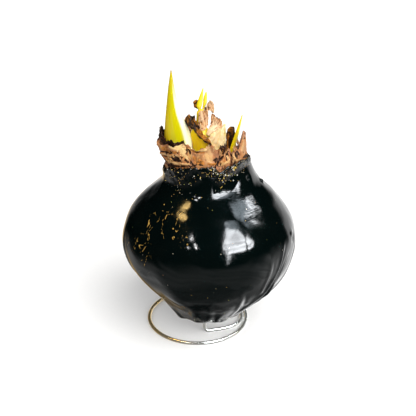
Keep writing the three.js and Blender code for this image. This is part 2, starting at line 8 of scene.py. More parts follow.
import bpy
import numpy as np
from numpy import arange, clip, cos, linspace, pi, radians, sin
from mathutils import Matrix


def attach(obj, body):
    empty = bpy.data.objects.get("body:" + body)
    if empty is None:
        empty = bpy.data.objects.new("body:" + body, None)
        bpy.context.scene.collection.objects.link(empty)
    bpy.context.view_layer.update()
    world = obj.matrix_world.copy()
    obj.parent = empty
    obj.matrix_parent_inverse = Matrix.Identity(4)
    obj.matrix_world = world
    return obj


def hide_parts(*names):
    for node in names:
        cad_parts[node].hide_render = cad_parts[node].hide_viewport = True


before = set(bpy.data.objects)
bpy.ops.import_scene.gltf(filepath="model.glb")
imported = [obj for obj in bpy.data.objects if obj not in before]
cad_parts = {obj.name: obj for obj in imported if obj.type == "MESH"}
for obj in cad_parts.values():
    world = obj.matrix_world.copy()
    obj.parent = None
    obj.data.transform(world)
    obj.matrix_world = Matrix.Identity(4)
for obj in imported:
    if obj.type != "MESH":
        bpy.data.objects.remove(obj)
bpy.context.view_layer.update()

# ---------------- dimensions of the part's source

BASE_Z = 18
RIM_Z = 118
BODY_OUTLINE = [
    (16.4, BASE_Z + 0.6), (22.6, 22), (33.8, 35.2), (43.8, 48), (49.4, 60), (51, 72),
    (47.6, 84), (38.4, 96), (28.3, 107), (25.6, RIM_Z),
]
GAP = 0.35
WAX_THICKNESS = 1.6
TUNIC_THICKNESS = 0.9
NECK_TOP_Z = 117
TUCK_Z = 106
WIRE_RADIUS = 1.1
RING_RADIUS = 31.7
RING_CENTRE = (-4.4, 17.7)
SPIKE_TOP_Z = 46
SPIKE_HOLE_RADIUS = WIRE_RADIUS + GAP
LEAN = [(12, 1.2), (38, 4.4), (60, 3.5), (106, 3.4), (120, 1)]
RIM_RISE = [
    (0, 2.4), (35, -0.8), (90, -1.5), (180, -4.4), (200, -1.2), (225, 2.4), (252, 4.8),
    (278, 6), (289, 2), (300, 4.6), (320, 6), (335, 4.8), (360, 2.4),
]
LUMPS = [  # at (degrees), height, rise, width
    (186, 66, 1.7, 13), (168, 92, 1.1, 10), (2, 47, 1, 10), (350, 37, 1.4, 9),
    (186, 104, -1.7, 8), (203, 26, -0.6, 8), (352, 103, 0.8, 9), (336, 66, -1.3, 10),
    (301, 82, 1.0, 12), (282, 60, -0.9, 11), (226, 78, -0.8, 12), (245, 45, 0.9, 14),
    (120, 70, 1.2, 16), (75, 52, -1.1, 14), (40, 84, 0.9, 12),
]
RIBS = 11
RIB_RISE = 0.35
WAX_AND_GAP = WAX_THICKNESS + GAP
TUNIC_STEP = TUNIC_THICKNESS + GAP + 0.15
SCALE_LEAN = [
    (0, -1.3), (60, -1.6), (130, 0.2), (166, 3.2), (192, 3.4), (216, 0.8), (250, -2),
    (300, -2.6), (336, -1.2), (360, -1.3),
]

# The spike's axis in the row's frame, read from the top of the spike itself.
spike = np.array([v.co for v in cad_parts["wire_foot"].data.vertices])
SPIKE_AXIS = spike[spike[:, 2] > spike[:, 2].max() - 0.0005].mean(0)[:2]

# ---------------- formulas


def lerp(a, b, t):
    return a + (b - a) * t


def smooth(low, high, value):
    t = clip((value - low) / (high - low), 0, 1)
    return t * t * (3 - 2 * t)


def along(rows, key):
    """Eases from row to row of (key, value) rows, level at each row."""
    keys, values = np.array(rows, float).T[:2]
    key = clip(key, keys[0], keys[-1])
    i = clip(np.searchsorted(keys, key), 1, len(keys) - 1)
    return lerp(values[i - 1], values[i], smooth(keys[i - 1], keys[i], key))


def curve(rows, key, column=1):
    """A smooth curve through rows, whose first column is the key."""
    rows = np.array(rows, float)
    keys, values = rows[:, 0], rows[:, column]
    last = len(keys) - 1
    i = clip(np.searchsorted(keys, key), 1, last)
    before, after = np.maximum(i - 2, 0), np.minimum(i + 1, last)
    span = keys[i] - keys[i - 1]
    t = clip((key - keys[i - 1]) / span, 0, 1)
    m0 = (values[i] - values[before]) / (keys[i] - keys[before]) * span
    m1 = (values[after] - values[i - 1]) / (keys[after] - keys[i - 1]) * span
    return (
        (2 * t**3 - 3 * t**2 + 1) * values[i - 1] + (t**3 - 2 * t**2 + t) * m0
        + (3 * t**2 - 2 * t**3) * values[i] + (t**3 - t**2) * m1
    )


def hill(u, v=0.0):
    return np.exp(-(u * u + v * v))


def turned(degrees):
    return np.mod(degrees, 360)


def past(degrees, at):
    """How far an angle lies past another, from -180 to 180."""
    return turned(degrees - at + 180) - 180


def near(degrees, at, wide):
    """1 at an angle, falling off over wide degrees on both sides."""
    return hill(past(degrees, at) / wide)


def all_round(count):
    """Angles round the whole object, from the back."""
    return 90 + arange(count)[None] / count * 360


def unit(vectors):
    return vectors / np.maximum(np.linalg.norm(vectors, axis=-1, keepdims=True), 1e-9)


LATTICE = np.random.default_rng(11).uniform(-1, 1, 8192)
PRIMES = (73856093, 19349663, 83492791)  # they scatter neighbouring cells over the lattice
SEED_STEP = 265443


def noise(points, size, seed=0):
    """A smooth random field from -1 to 1, with features of that size in millimetres."""
    cell = np.asarray(points, float) / size
    low = np.floor(cell).astype(np.int64)
    share = cell - low
    share = share**3 * (share * (share * 6 - 15) + 10)
    total = 0.0
    for corner in np.ndindex(2, 2, 2):
        at = low + corner
        key = seed * SEED_STEP
        for i, prime in enumerate(PRIMES):
            key = key ^ (at[..., i] * prime)
        weight = np.prod(np.where(np.array(corner) == 1, share, 1 - share), axis=-1)
        total = total + LATTICE[key % len(LATTICE)] * weight
    return total


def creased(points, size, seed=0):
    """Sharp creases between rounded swellings, from -1 in a crease to about 1."""
    return 2 * np.sqrt(np.abs(noise(points, size, seed)) + 1e-4) - 1


def stack(*parts):
    return np.stack(np.broadcast_arrays(*parts), axis=-1)


def outline_points():
    """The spline through BODY_OUTLINE, sampled as the part's source samples it."""
    rows = np.array(BODY_OUTLINE, float)
    last = len(rows) - 1
    t = linspace(0, last, 201)
    i = np.minimum(np.floor(t).astype(int), last - 1)
    w = (t - i)[:, None]
    p0, p1, p2, p3 = (rows[clip(i + step, 0, last)] for step in (-1, 0, 1, 2))
    v0, v1 = (p2 - p0) / 2, (p3 - p1) / 2
    return (2 * p1 - 2 * p2 + v0 + v1) * w**3 + (-3 * p1 + 3 * p2 - 2 * v0 - v1) * w**2 + v0 * w + p1


OUTLINE = outline_points()


def body_radius(z):
    return np.interp(z, OUTLINE[:, 1], OUTLINE[:, 0])


def wall_share(z):
    """The wall measures more along the radius low down, where the side slopes in to the foot."""
    return lerp(1.7, 1, smooth(BASE_Z, 34, z))


def bumps(rows, degrees, z):
    """The sum of round bumps, given by rows of angle, height, rise and width."""
    rise = 0
    for at, middle, height, wide in rows:
        across = radians(past(degrees, at)) * body_radius(z)
        rise = rise + height * hill(across / wide, (z - middle) / wide)
    return rise


def lump(degrees, z):
    rise = RIB_RISE * cos(radians(RIBS * degrees) + z / 17) * (1 - smooth(60, 92, z))
    rise = rise + bumps(LUMPS, degrees, z)
    return rise * (1 - 0.8 * smooth(98, 110, z))


def on_bulb(radius, degrees, z):
    outer = smooth(SPIKE_HOLE_RADIUS, 14, radius)
    r = radius + outer * lump(degrees, z)
    angle = radians(degrees)
    return stack(r * cos(angle) + outer * along(LEAN, z), r * sin(angle), z)


def pucker(degrees, z):
    """How far the dry scales lean in or out above the wax."""
    lean = along(SCALE_LEAN, degrees)
    held = np.maximum(RIM_Z + along(RIM_RISE, degrees), NECK_TOP_Z + 1.5)
    free = smooth(0, 8, z - held)
    angle = radians(degrees)
    folds = 0.6 * sin(9 * angle + z * 0.13) + 0.4 * sin(17 * angle - z * 0.1)
    return free * (lean + folds)


def ragged(degrees, size):
    """The source's torn edge."""
    angle = radians(degrees)
    return size * (0.6 * sin(14 * angle) + 0.4 * sin(37 * angle + radians(50)))


def torn(degrees, size, seed):
    """Finer tears, for the edges in this script."""
    p = stack(degrees, 0.0, 0.0)
    notches = clip(np.abs(noise(p, 4.5, seed + 1)) - 0.45, 0, 1) * 4
    fine = 0.6 * noise(p, 1.9, seed + 2) + 0.35 * noise(p, 0.8, seed + 3)
    return size * (0.9 * noise(p, 5, seed) + fine - notches)


# ---------------- meshes


def place(points):
    return points / 1000 + (*SPIKE_AXIS, 0)


def new_object(name, data):
    made = bpy.data.objects.new(name, data)
    bpy.context.scene.collection.objects.link(made)
    return made


def colour_points(mesh, name, colours):
    """Gives each of the mesh's points a colour, under that name."""
    colours = np.hstack([colours, np.ones((len(colours), 1))])
    mesh.color_attributes.new(name, "FLOAT_COLOR", "POINT").data.foreach_set("color", colours.ravel())


def raised(grid, height):
    """Moves rings of points outwards. They run counter-clockwise, and the rings upwards."""
    across = np.roll(grid, -1, axis=1) - np.roll(grid, 1, axis=1)
    return grid + unit(np.cross(across, np.gradient(grid, axis=0))) * height[..., None]


CORNERS = [np.s_[:-1, :-1], np.s_[:-1, 1:], np.s_[1:, 1:], np.s_[1:, :-1]]


class Skin:
    """Gathers grids of points into one mesh, with a UV map and a tone for each point: (dark,
    pale, warm), each from 0 to 1, for the materials to read; in places it holds painted shade and light."""

    def __init__(self):
        self.points, self.tones, self.faces, self.uvs = [], [], [], []
        self.count = 0

    def add_points(self, grid, tone=(0, 0, 0)):
        grid = np.asarray(grid, float)
        ids = self.count + arange(grid[..., 0].size).reshape(grid.shape[:-1])
        self.count += ids.size
        self.points.append(grid.reshape(-1, 3))
        self.tones.append(np.broadcast_to(stack(*tone), grid.shape).reshape(-1, 3))
        return ids

    def quads(self, ids, uv, around=False, flip=False):
        """Faces between the rows and columns of ids. uv gives (u, v) for each of them."""
        u, v = (np.broadcast_to(part, ids.shape) for part in uv)
        if around:
            ids = np.hstack([ids, ids[:, :1]])
            u = np.hstack([u, 2 * u[:, -1:] - u[:, -2:-1]])
            v = np.hstack([v, v[:, :1]])
        corners = CORNERS[::-1] if flip else CORNERS
        self.faces.extend(np.stack([ids[c] for c in corners], -1).reshape(-1, 4).tolist())
        self.uvs.append(np.stack([stack(u[c], v[c]) for c in corners], -2).reshape(-1, 2))

    def fan(self, ring, centre, tone=(0, 0, 0), flip=False):
        """Closes a ring of ids with triangles to a middle point."""
        middle = self.add_points([centre], tone)[0]
        ends = (np.roll(ring, -1), ring) if flip else (ring, np.roll(ring, -1))
        self.faces.extend(np.stack([*ends, np.full(len(ring), middle)], 1).tolist())
        self.uvs.append(np.full((3 * len(ring), 2), 0.5))

    def tube(self, rings, uv, tone=(0, 0, 0), flip=False, caps=()):
        """Rings of points joined into a tube. caps gives the middle of the first and last end."""
        ids = self.add_points(rings, tone)
        self.quads(ids, uv, around=True, flip=flip)
        for end, centre in zip((0, -1), caps):
            end_tone = [np.broadcast_to(part, ids.shape)[end, 0] for part in tone]
            self.fan(ids[end], centre, end_tone, flip=flip != (end == 0))

    def sheet(self, outer, inner, uv, tone):
        """A closed sheet between an outer and an inner grid."""
        out_ids, in_ids = self.add_points(outer, tone), self.add_points(inner, tone)
        u, v = (np.broadcast_to(part, out_ids.shape) for part in uv)
        self.quads(out_ids, (u, v))
        self.quads(in_ids, (u, v), flip=True)
        self.quads(np.stack([in_ids[0], out_ids[0]]), (u[:2], v[:2]))
        self.quads(np.stack([out_ids[-1], in_ids[-1]]), (u[-2:], v[-2:]))
        self.quads(np.stack([in_ids[:, 0], out_ids[:, 0]], 1), (u[:, :2], v[:, :2]))
        self.quads(np.stack([out_ids[:, -1], in_ids[:, -1]], 1), (u[:, -2:], v[:, -2:]))

    def piece(self, name, material, slot, *replaced):
        """Makes the mesh an object that takes the place of the source's node, if one is given."""
        mesh = bpy.data.meshes.new(name)
        mesh.from_pydata(place(np.vstack(self.points)).tolist(), [], self.faces)
        mesh.uv_layers.new(name="UVMap").data.foreach_set("uv", np.vstack(self.uvs).ravel())
        colour_points(mesh, "tone", np.vstack(self.tones))
        mesh.polygons.foreach_set("use_smooth", [True] * len(mesh.polygons))
        mesh.materials.append(material)
        mesh.validate()
        made = new_object(name, mesh)
        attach(made, "root")
        if replaced:
            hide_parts(*replaced)


# ---------------- materials


class Shader:
    """A Principled material with short ways to add nodes to it."""

    def __init__(self, name, **settings):
        self.material = bpy.data.materials.new(name)
        self.material.use_nodes = True
        self.tree = self.material.node_tree
        self.surface = self.tree.nodes["Principled BSDF"]
        for key, value in settings.items():
            self.surface.inputs[key.replace("_", " ")].default_value = value

    def add(self, kind, inputs=None, **settings):
        node = self.tree.nodes.new(kind)
        for key, value in settings.items():
            setattr(node, key, value)
        for key, value in (inputs or {}).items():
            self.put(value, node.inputs[key])
        return node

    def put(self, value, socket):
        if isinstance(value, bpy.types.NodeSocket):
            self.tree.links.new(value, socket)
        else:
            socket.default_value = value

    def space(self, stretch=(1, 1, 1), uv=False):
        """Object coordinates in millimetres, or the UV map's, each axis times stretch."""
        if uv:
            source = self.add("ShaderNodeUVMap", uv_map="UVMap").outputs["UV"]
        else:
            source = self.add("ShaderNodeTexCoord").outputs["Object"]
            stretch = tuple(1000 * s for s in stretch)
        return self.add("ShaderNodeMapping", {"Vector": source, "Scale": stretch}).outputs["Vector"]

    def noise(self, where, size, detail=3.0, roughness=0.55, distortion=0.0):
        values = {"Vector": where, "Scale": 1 / size, "Detail": detail, "Roughness": roughness}
        return self.add("ShaderNodeTexNoise", values | {"Distortion": distortion}).outputs["Fac"]

    def split(self, colour):
        return self.add("ShaderNodeSeparateColor", {"Color": colour}).outputs

    def cells(self, where, size):
        """Cells of that size: the distance to each one's middle, and its random numbers."""
        cell = self.add("ShaderNodeTexVoronoi", {"Vector": where, "Scale": 1 / size}).outputs
        return cell["Distance"], self.split(cell["Color"])

    def scaled(self, value, low, high, to_low=0.0, to_high=1.0):
        """Takes low..high to to_low..to_high, easing at both ends."""
        values = {"Value": value, "From Min": low, "From Max": high, "To Min": to_low, "To Max": to_high}
        return self.add("ShaderNodeMapRange", values, interpolation_type="SMOOTHSTEP").outputs["Result"]

    def math(self, operation, a, b):
        return self.add("ShaderNodeMath", {0: a, 1: b}, operation=operation).outputs[0]

    def times(self, a, b):
        return self.math("MULTIPLY", a, b)

    def plus(self, a, b):
        return self.math("ADD", a, b)

    def mixed(self, share, a, b, blend="MIX"):
        node = self.add("ShaderNodeMix", data_type="RGBA", blend_type=blend)
        colours = [(*c, 1) if isinstance(c, tuple) else c for c in (a, b)]
        for value, index in ((share, 0), (colours[0], 6), (colours[1], 7)):
            self.put(value, node.inputs[index])
        return node.outputs[2]

    def ramp(self, value, *stops):
        node = self.add("ShaderNodeValToRGB", {"Fac": value})
        elements = node.color_ramp.elements
        while len(elements) < len(stops):
            elements.new(0.5)
        for element, (position, colour) in zip(elements, stops):
            element.position = position
            element.color = (*colour, 1)
        return node.outputs["Color"]

    def tone(self):
        """The mesh's own (dark, pale, warm)."""
        return list(self.split(self.attribute("tone")))

    def attribute(self, name):
        return self.add("ShaderNodeAttribute", attribute_name=name).outputs["Color"]

    def bump(self, height, depth, normal=None, strength=1.0):
        """depth is in millimetres."""
        values = {"Height": height, "Distance": depth / 1000, "Strength": strength}
        if normal is not None:
            values["Normal"] = normal
        return self.add("ShaderNodeBump", values).outputs["Normal"]

    def finish(self, colour=None, roughness=None, normal=None):
        for value, key in ((colour, "Base Color"), (roughness, "Roughness"), (normal, "Normal")):
            if value is not None:
                self.put(value, self.surface.inputs[key])
        return self.material


SPECK_AND_SPARKLE_COLOURS = [
    (0, (0.5, 0.48, 0.42)), (0.35, (0.55, 0.36, 0.1)), (0.6, (0.3, 0.13, 0.05)), (0.85, (0.45, 0.45, 0.1)),
]


def black_wax():
    """Glossy black: fine ripples where tone's dark is high, a rough speckled crust where its pale is, with
    specks that are partly debris and partly painted sparkle, and where its warm is gold flecks and threads,
    partly bulb skin and partly painted glints of a warm lamp."""
    s = Shader("black_wax", IOR=1.38)
    dark, pale, warm = s.tone()
    where = s.space()
    smear = s.noise(where, 14, 3)
    base = s.mixed(s.scaled(smear, 0.35, 0.7), (0.0006, 0.0021, 0.0021), (0.0012, 0.0026, 0.0024))

    # Specks in the crust: partly debris, partly painted sparkle.
    from_middle, chosen = s.cells(where, 0.65)
    amount = s.plus(0.003, s.times(pale, s.scaled(s.noise(where, 4, 2), 0.46, 0.66, 0.06, 0.5)))
    speck_and_sparkle = s.times(s.scaled(from_middle, 0.18, 0.4, 1, 0), s.math("LESS_THAN", chosen[0], amount))
    base = s.mixed(speck_and_sparkle, base, s.ramp(chosen[1], *SPECK_AND_SPARKLE_COLOURS))

    # Gold threads and flecks where tone's warm is: partly bits of bulb skin, partly painted glints of a warm
    # lamp.
    veins = s.noise(s.space((1, 1, 0.45)), 6, 2.2, 0.5, 0.6)
    line = s.scaled(s.math("ABSOLUTE", s.math("SUBTRACT", veins, 0.5), 0.0), 0.004, 0.014, 1, 0)
    broken = s.scaled(s.noise(where, 2.3, 2), 0.5, 0.56)
    thread_and_glint = s.times(s.times(line, broken), s.scaled(warm, 0.35, 0.6))
    from_middle, chosen = s.cells(s.space((1, 1, 0.6)), 2.3)
    picked = s.math("LESS_THAN", chosen[2], s.times(warm, 0.14))
    fleck_and_glint = s.times(s.scaled(from_middle, 0.08, 0.22, 1, 0), picked)
    base = s.mixed(s.math("MAXIMUM", thread_and_glint, fleck_and_glint), base, (0.5, 0.3, 0.07))

    ripples = s.bump(s.noise(s.space((0.3, 0.3, 1.5)), 0.9, 2), 0.06, None, s.scaled(dark, 0, 1, 0.12, 1))
    peel = s.bump(s.noise(where, 2.6, 2), 0.03, ripples)
    crust = s.bump(s.noise(where, 0.9, 4, 0.65), 0.14, peel, pale)
    roughness = s.plus(s.scaled(pale, 0, 1, 0.08, 0.15), s.scaled(smear, 0.5, 0.8, 0, 0.05))
    return s.finish(base, roughness, crust)


def polished_steel():
    s = Shader("polished_steel", Metallic=0.8)
    drawn = s.noise(s.space(), 0.7, 2)
    tarnish = s.noise(s.space(), 6, 3)
    # The left of the wire is painted gold: a painted reflection of the warm lamp on that side, not the
    # steel's colour.
    left = s.add("ShaderNodeSeparateXYZ", {"Vector": s.space()}).outputs["X"]
    colour = s.mixed(s.scaled(left, -34, 0), (0.66, 0.48, 0.2), (0.7, 0.72, 0.7))
    colour = s.mixed(s.scaled(tarnish, 0.4, 0.7, 0, 0.6), colour, (0.5, 0.45, 0.36))
    roughness = s.scaled(drawn, 0.3, 0.7, 0.14, 0.24)
    return s.finish(colour, roughness, s.bump(drawn, 0.01))


def leaf(name, edge, middle, light, vein=0.35):
    """Smooth living leaf: edge at its margins and shaded side (tone's warm), in places painted shade; light
    where it is pale, which is painted light on the side the key light falls on.
    """
    s = Shader(name, IOR=1.42, Specular_IOR_Level=0.1, Subsurface_Weight=0.12, Subsurface_Scale=0.004)
    dark, pale, warm = s.tone()
    stripes = s.noise(s.space((1, 0.05, 1), uv=True), 0.006, 3, 0.6)
    broad = s.noise(s.space((1, 0.12, 1), uv=True), 0.03, 2)
    colour = s.mixed(warm, middle, edge)
    colour = s.mixed(pale, colour, light)
    shade = s.mixed(s.scaled(stripes, 0.35, 0.75), (1.0, 1.0, 1.0), (0.82, 0.8, 0.6))
    colour = s.mixed(vein, colour, shade, "MULTIPLY")
    colour = s.mixed(s.scaled(broad, 0.45, 0.8, 0, 0.04), colour, light)
    spots = s.scaled(s.noise(s.space(), 2.2, 4, 0.6), 0.62, 0.72)
    colour = s.mixed(s.times(spots, dark), colour, (0.2, 0.09, 0.02))
    colour = s.mixed(s.times(dark, dark), colour, (0.12, 0.05, 0.012))
    roughness = s.scaled(broad, 0.3, 0.7, 0.28, 0.42)
    return s.finish(colour, roughness, s.bump(stripes, 0.05))


def papery(name, base, streak, dark_colour, pale_colour, warm_colour, depth=0.16):
    """Dry scale: fine upright fibres, blotches, dark where tone's dark is (painted shade in its creases and
    gaps, and darker patches and edges), pale and warm patches (pale on the ridges of the bundle's scales is
    painted highlight).
    """
    s = Shader(name, IOR=1.4, Specular_IOR_Level=0.25, Subsurface_Weight=0.04, Subsurface_Scale=0.002)
    dark, pale, warm = s.tone()
    fibres = s.noise(s.space((1, 0.13, 1), uv=True), 0.0045, 4, 0.65, 0.3)
    blotches = s.noise(s.space(), 4.5, 4, 0.6)
    fine = s.noise(s.space(), 1.3, 4, 0.7)
    colour = s.mixed(s.scaled(fibres, 0.36, 0.68), streak, base)
    colour = s.mixed(s.scaled(blotches, 0.42, 0.68, 0, 0.55), colour, warm_colour)
    colour = s.mixed(warm, colour, warm_colour)
    colour = s.mixed(s.times(pale, s.scaled(fine, 0.2, 0.5, 0.7, 1)), colour, pale_colour)
    colour = s.mixed(s.scaled(fibres, 0.5, 0.72, 0, 0.3), colour, (0.78, 0.6, 0.45), "MULTIPLY")
    uneven = s.times(s.math("SUBTRACT", fine, 0.5), 0.9)
    colour = s.mixed(s.scaled(s.plus(dark, uneven), 0.3, 0.75), colour, dark_colour)
    roughness = s.scaled(fine, 0.3, 0.7, 0.42, 0.68)
    crinkled = s.bump(s.noise(s.space(), 1.7, 3, 0.6), 0.35)
    return s.finish(colour, roughness, s.bump(fibres, depth, crinkled))


def crumbly():
    s = Shader("crumb")
    dark, pale, warm = s.tone()
    grain = s.noise(s.space(), 0.5, 3)
    colour = s.mixed(s.scaled(grain, 0.3, 0.7), (0.36, 0.24, 0.1), (0.55, 0.42, 0.22))
    colour = s.mixed(pale, colour, (0.62, 0.6, 0.52))
    colour = s.mixed(warm, colour, (0.62, 0.42, 0.08))
    colour = s.mixed(dark, colour, (0.09, 0.035, 0.012))
    return s.finish(colour, s.scaled(grain, 0.3, 0.7, 0.4, 0.7), s.bump(grain, 0.1))


WAX = black_wax()
CRUMB = crumbly()
STEEL = polished_steel()
# The shoots' light colour is painted light on their lit side, and their edge colour in places painted shade.
LARGE_LEAF = leaf("yellow_shoot", (0.49, 0.35, 0.001), (0.47, 0.43, 0.001), (0.93, 0.93, 0.66), 0.2)
LEAF = leaf("yellow_leaf", (0.7, 0.48, 0.004), (0.76, 0.63, 0.003), (0.8, 0.76, 0.22), 0.4)
INNER_LEAF = leaf("yellow_bundle", (0.9, 0.56, 0.006), (0.95, 0.7, 0.008), (0.96, 0.85, 0.3), 0.4)
PALE_LEAF = papery(
    "pale_flesh", (0.72, 0.55, 0.28), (0.62, 0.33, 0.16), (0.2, 0.07, 0.02), (0.8, 0.7, 0.42),
    (0.66, 0.52, 0.12), 0.12,
)
BROWN = papery(
    "brown_scale", (0.44, 0.235, 0.125), (0.27, 0.1, 0.045), (0.02, 0.008, 0.004), (0.68, 0.47, 0.21),
    (0.42, 0.16, 0.03),
)
DARK = papery(
    "dark_scale", (0.32, 0.12, 0.022), (0.09, 0.03, 0.008), (0.014, 0.006, 0.003), (0.5, 0.3, 0.12),
    (0.46, 0.17, 0.015),
)
PINK = papery(
    "pink_scale", (0.6, 0.32, 0.16), (0.36, 0.14, 0.055), (0.05, 0.015, 0.005), (0.88, 0.7, 0.46),
    (0.52, 0.24, 0.07),
)

# ---------------- wire foot

SPIKE_SHARE, COIL_SHARE = 0.03, 0.12  # where along the wire the spike ends and the coil starts
BEND_RADIUS = 3.0
COIL_END = 395  # degrees


def foot_path(t):
    """The wire's middle: down the spike, round a bend, then out in a flat coil onto the ring."""
    top_of_bend = WIRE_RADIUS + BEND_RADIUS
    down = stack(0.0, 0.0, lerp(SPIKE_TOP_Z, top_of_bend, clip(t / SPIKE_SHARE, 0, 1)))
    turn = clip((t - SPIKE_SHARE) / (COIL_SHARE - SPIKE_SHARE), 0, 1) * pi / 2
    bend = stack(BEND_RADIUS * (1 - cos(turn)), 0.0, top_of_bend - BEND_RADIUS * sin(turn))

    start = np.array([BEND_RADIUS, 0.0]) - RING_CENTRE
    start_angle = np.arctan2(start[1], start[0]) % (2 * pi) - 2 * pi
    share = clip((t - COIL_SHARE) / (1 - COIL_SHARE), 0, 1)
    angle = lerp(start_angle, radians(COIL_END), share)
    inner_radius = RING_RADIUS - 2 * WIRE_RADIUS - 1
    radius = lerp(np.hypot(*start), inner_radius, smooth(start_angle, radians(-5), angle))
    radius = lerp(radius, RING_RADIUS, smooth(radians(30), radians(125), angle))
    x, y = RING_CENTRE[0] + radius * cos(angle), RING_CENTRE[1] + radius * sin(angle)
    beyond = np.where((t < COIL_SHARE)[:, None], bend, stack(x, y, WIRE_RADIUS))
    return np.where((t < SPIKE_SHARE)[:, None], down, beyond)


def wire_stand():
    sides = 20
    stretches = (0, SPIKE_SHARE, 8), (SPIKE_SHARE, COIL_SHARE, 24), (COIL_SHARE, 1, 420)
    path = foot_path(np.unique(np.concatenate([linspace(*stretch) for stretch in stretches])))
    along_wire = unit(np.gradient(path, axis=0))
    side = np.cross(along_wire, (0, 0, 1.0))
    side[np.linalg.norm(side, axis=1) < 0.2] = (0, -1, 0)
    side = unit(side)
    other = np.cross(side, along_wire)

    # The first and last two rings lie at the wire's ends and are smaller, to round them.
    last = len(path) - 1
    held = np.r_[0, 0, 2:last - 1, last, last]
    back = np.zeros(last + 1)
    back[[1, -2]] = 0.18, -0.18
    size = np.full(last + 1, WIRE_RADIUS)
    size[[0, -1]] *= 0.55
    size[[1, -2]] *= 0.85
    swing = arange(sides)[None, :, None] / sides * 2 * pi
    round_wire = cos(swing) * side[held][:, None] + sin(swing) * other[held][:, None]
    middle = path[held] + along_wire[held] * back[:, None]
    grid = middle[:, None] + size[:, None, None] * round_wire
    skin = Skin()
    uv = arange(sides)[None] / sides * 0.07, linspace(0, 5, len(grid))[:, None]
    skin.tube(grid, uv, flip=True, caps=path[[0, -1]])
    skin.piece("wire_stand", STEEL, "steel_wire", "wire_foot")


# ---------------- wax

CREASES = [  # upright folds: degrees at the top, at the foot, heights, rise, width
    (327, 311, 46, 80, 0.8, 1.6), (334, 316, 44, 72, 0.7, 1.3), (322, 316, 38, 62, 0.5, 1.2),
    (312, 308, 50, 76, 0.45, 1.6), (312, 303, 28, 54, 0.7, 1.7), (291, 297, 26, 58, 0.5, 1.8),
    (303, 300, 24, 40, 0.4, 1.2), (268, 270, 22, 50, 0.25, 1.8), (248, 250, 19, 34, 0.2, 1.8),
    (352, 340, 36, 76, 0.6, 1.4), (280, 282, 20, 36, 0.2, 1.4), (216, 222, 20, 40, 0.5, 2.2),
    (196, 204, 22, 54, 0.7, 1.8), (190, 200, 52, 80, 0.6, 1.6), (172, 182, 24, 50, 0.5, 2.4),
    (140, 150, 20, 46, 0.5, 2.4), (96, 104, 22, 44, 0.6, 2.2), (60, 66, 20, 50, 0.5, 2.4),
    (28, 34, 24, 52, 0.5, 2.2),
]
GOLD_FLECK_AND_GLINT_MARKS = [  # where gold flecks show, partly bits of skin and partly painted glints of a warm lamp: degrees, height, share, half width (degrees), half height
    (225, 91, 0.9, 14, 9), (243, 93, 1, 6, 8), (252, 88, 0.8, 4, 4), (210, 76, 0.6, 14, 6),
    (223, 72, 0.7, 7, 6),
]
DRIPS = [(357, 105.5, 1.3, 1.0), (330, 112.5, -0.9, 1.4), (343, 75, -0.7, 2.6), (341, 79, 0.5, 2.2)]


def wax_relief(degrees, z, points):
    """Height in millimetres of the wax's finer relief above the source's smooth shape."""
    body = smooth(17, 26, z) * (1 - smooth(108, 114, z))
    rise = body * (0.32 * noise(points, 21, 1) + 0.16 * noise(points, 9.5, 2) + 0.05 * noise(points, 4.2, 3))
    for top_at, foot_at, low, high, height, wide in CREASES:
        at = lerp(foot_at, top_at, (z - low) / (high - low))
        across = radians(past(degrees, at)) * body_radius(z) / wide
        span = smooth(low - 3, low + 3, z) * (1 - smooth(high - 12, high, z))
        rise = rise + height * span * (hill(across) - 0.6 * hill((across - 1.7) / 0.8))
    rise = rise + bumps(DRIPS, degrees, z)
    bend_z = 113.75 + 0.18 * (turned(degrees) - 305)
    rise = rise - 2.1 * hill(past(degrees, 302) / 28, (z - bend_z) / 4.8)
    wave = sin(radians(7 * degrees)) * cos(radians(3 * degrees + 40))
    rise = rise + (0.3 + 0.3 * wave) * hill((z - 21) / 2.4)
    crust = smooth(115 - 9 * near(degrees, 225, 40), 119, z - 0.4 * along(RIM_RISE, degrees))
    grains = 0.3 * noise(points, 4, 4) + 0.3 * noise(points, 1.9, 5) + 0.16 * noise(points, 1.0, 6)
    return rise + crust * grains


def wax_surface(columns):
    """The wax's skin as a grid of points, with the angle and height of each."""
    rim, foot = body_radius(RIM_Z), BODY_OUTLINE[0][0]
    base = [(SPIKE_HOLE_RADIUS, 0), (5, 0.1), (9, 0.2), (foot - 2, 0), (foot - 0.6, 0.1)]
    base = [(radius, BASE_Z + z) for radius, z in base]
    stretches = (BASE_Z + 0.6, 30, 34), (30.6, 104, 116), (104.5, 117.2, 34)
    outside = [(body_radius(z), z) for stretch in stretches for z in linspace(*stretch)]
    lip = [(rim - in_by, RIM_Z - down) for in_by, down in ((0.1, 0.4), (0.35, 0.1), (0.7, 0), (1.1, 0.1))]
    inside = [(body_radius(z) - WAX_THICKNESS * wall_share(z), z)
              for z in (*linspace(117.2, 104, 12), 96, 84, 72, 60, 48, 36, 28, 22)]
    floor_z = BASE_Z + WAX_THICKNESS
    inside += [(foot - 2, floor_z), (SPIKE_HOLE_RADIUS, floor_z), (SPIKE_HOLE_RADIUS, BASE_Z)]
    radius, z = np.array(base + outside + lip + inside).T[:, :, None]

    degrees = turned(all_round(columns))
    rise = along(RIM_RISE, degrees) + 0.5 * torn(degrees, 0.7, 31)
    lifted = z + rise * smooth(TUCK_Z, RIM_Z, z)
    settled = np.where(z > TUCK_Z, radius + body_radius(lifted) - body_radius(z), radius)
    grid = on_bulb(settled, degrees, lifted)
    share = [0] * len(base) + [1] * len(outside) + [*linspace(0.8, 0.1, len(lip))] + [0] * len(inside)
    relief = wax_relief(degrees, lifted, grid) * np.array(share)[:, None]
    return raised(grid, relief), degrees, lifted


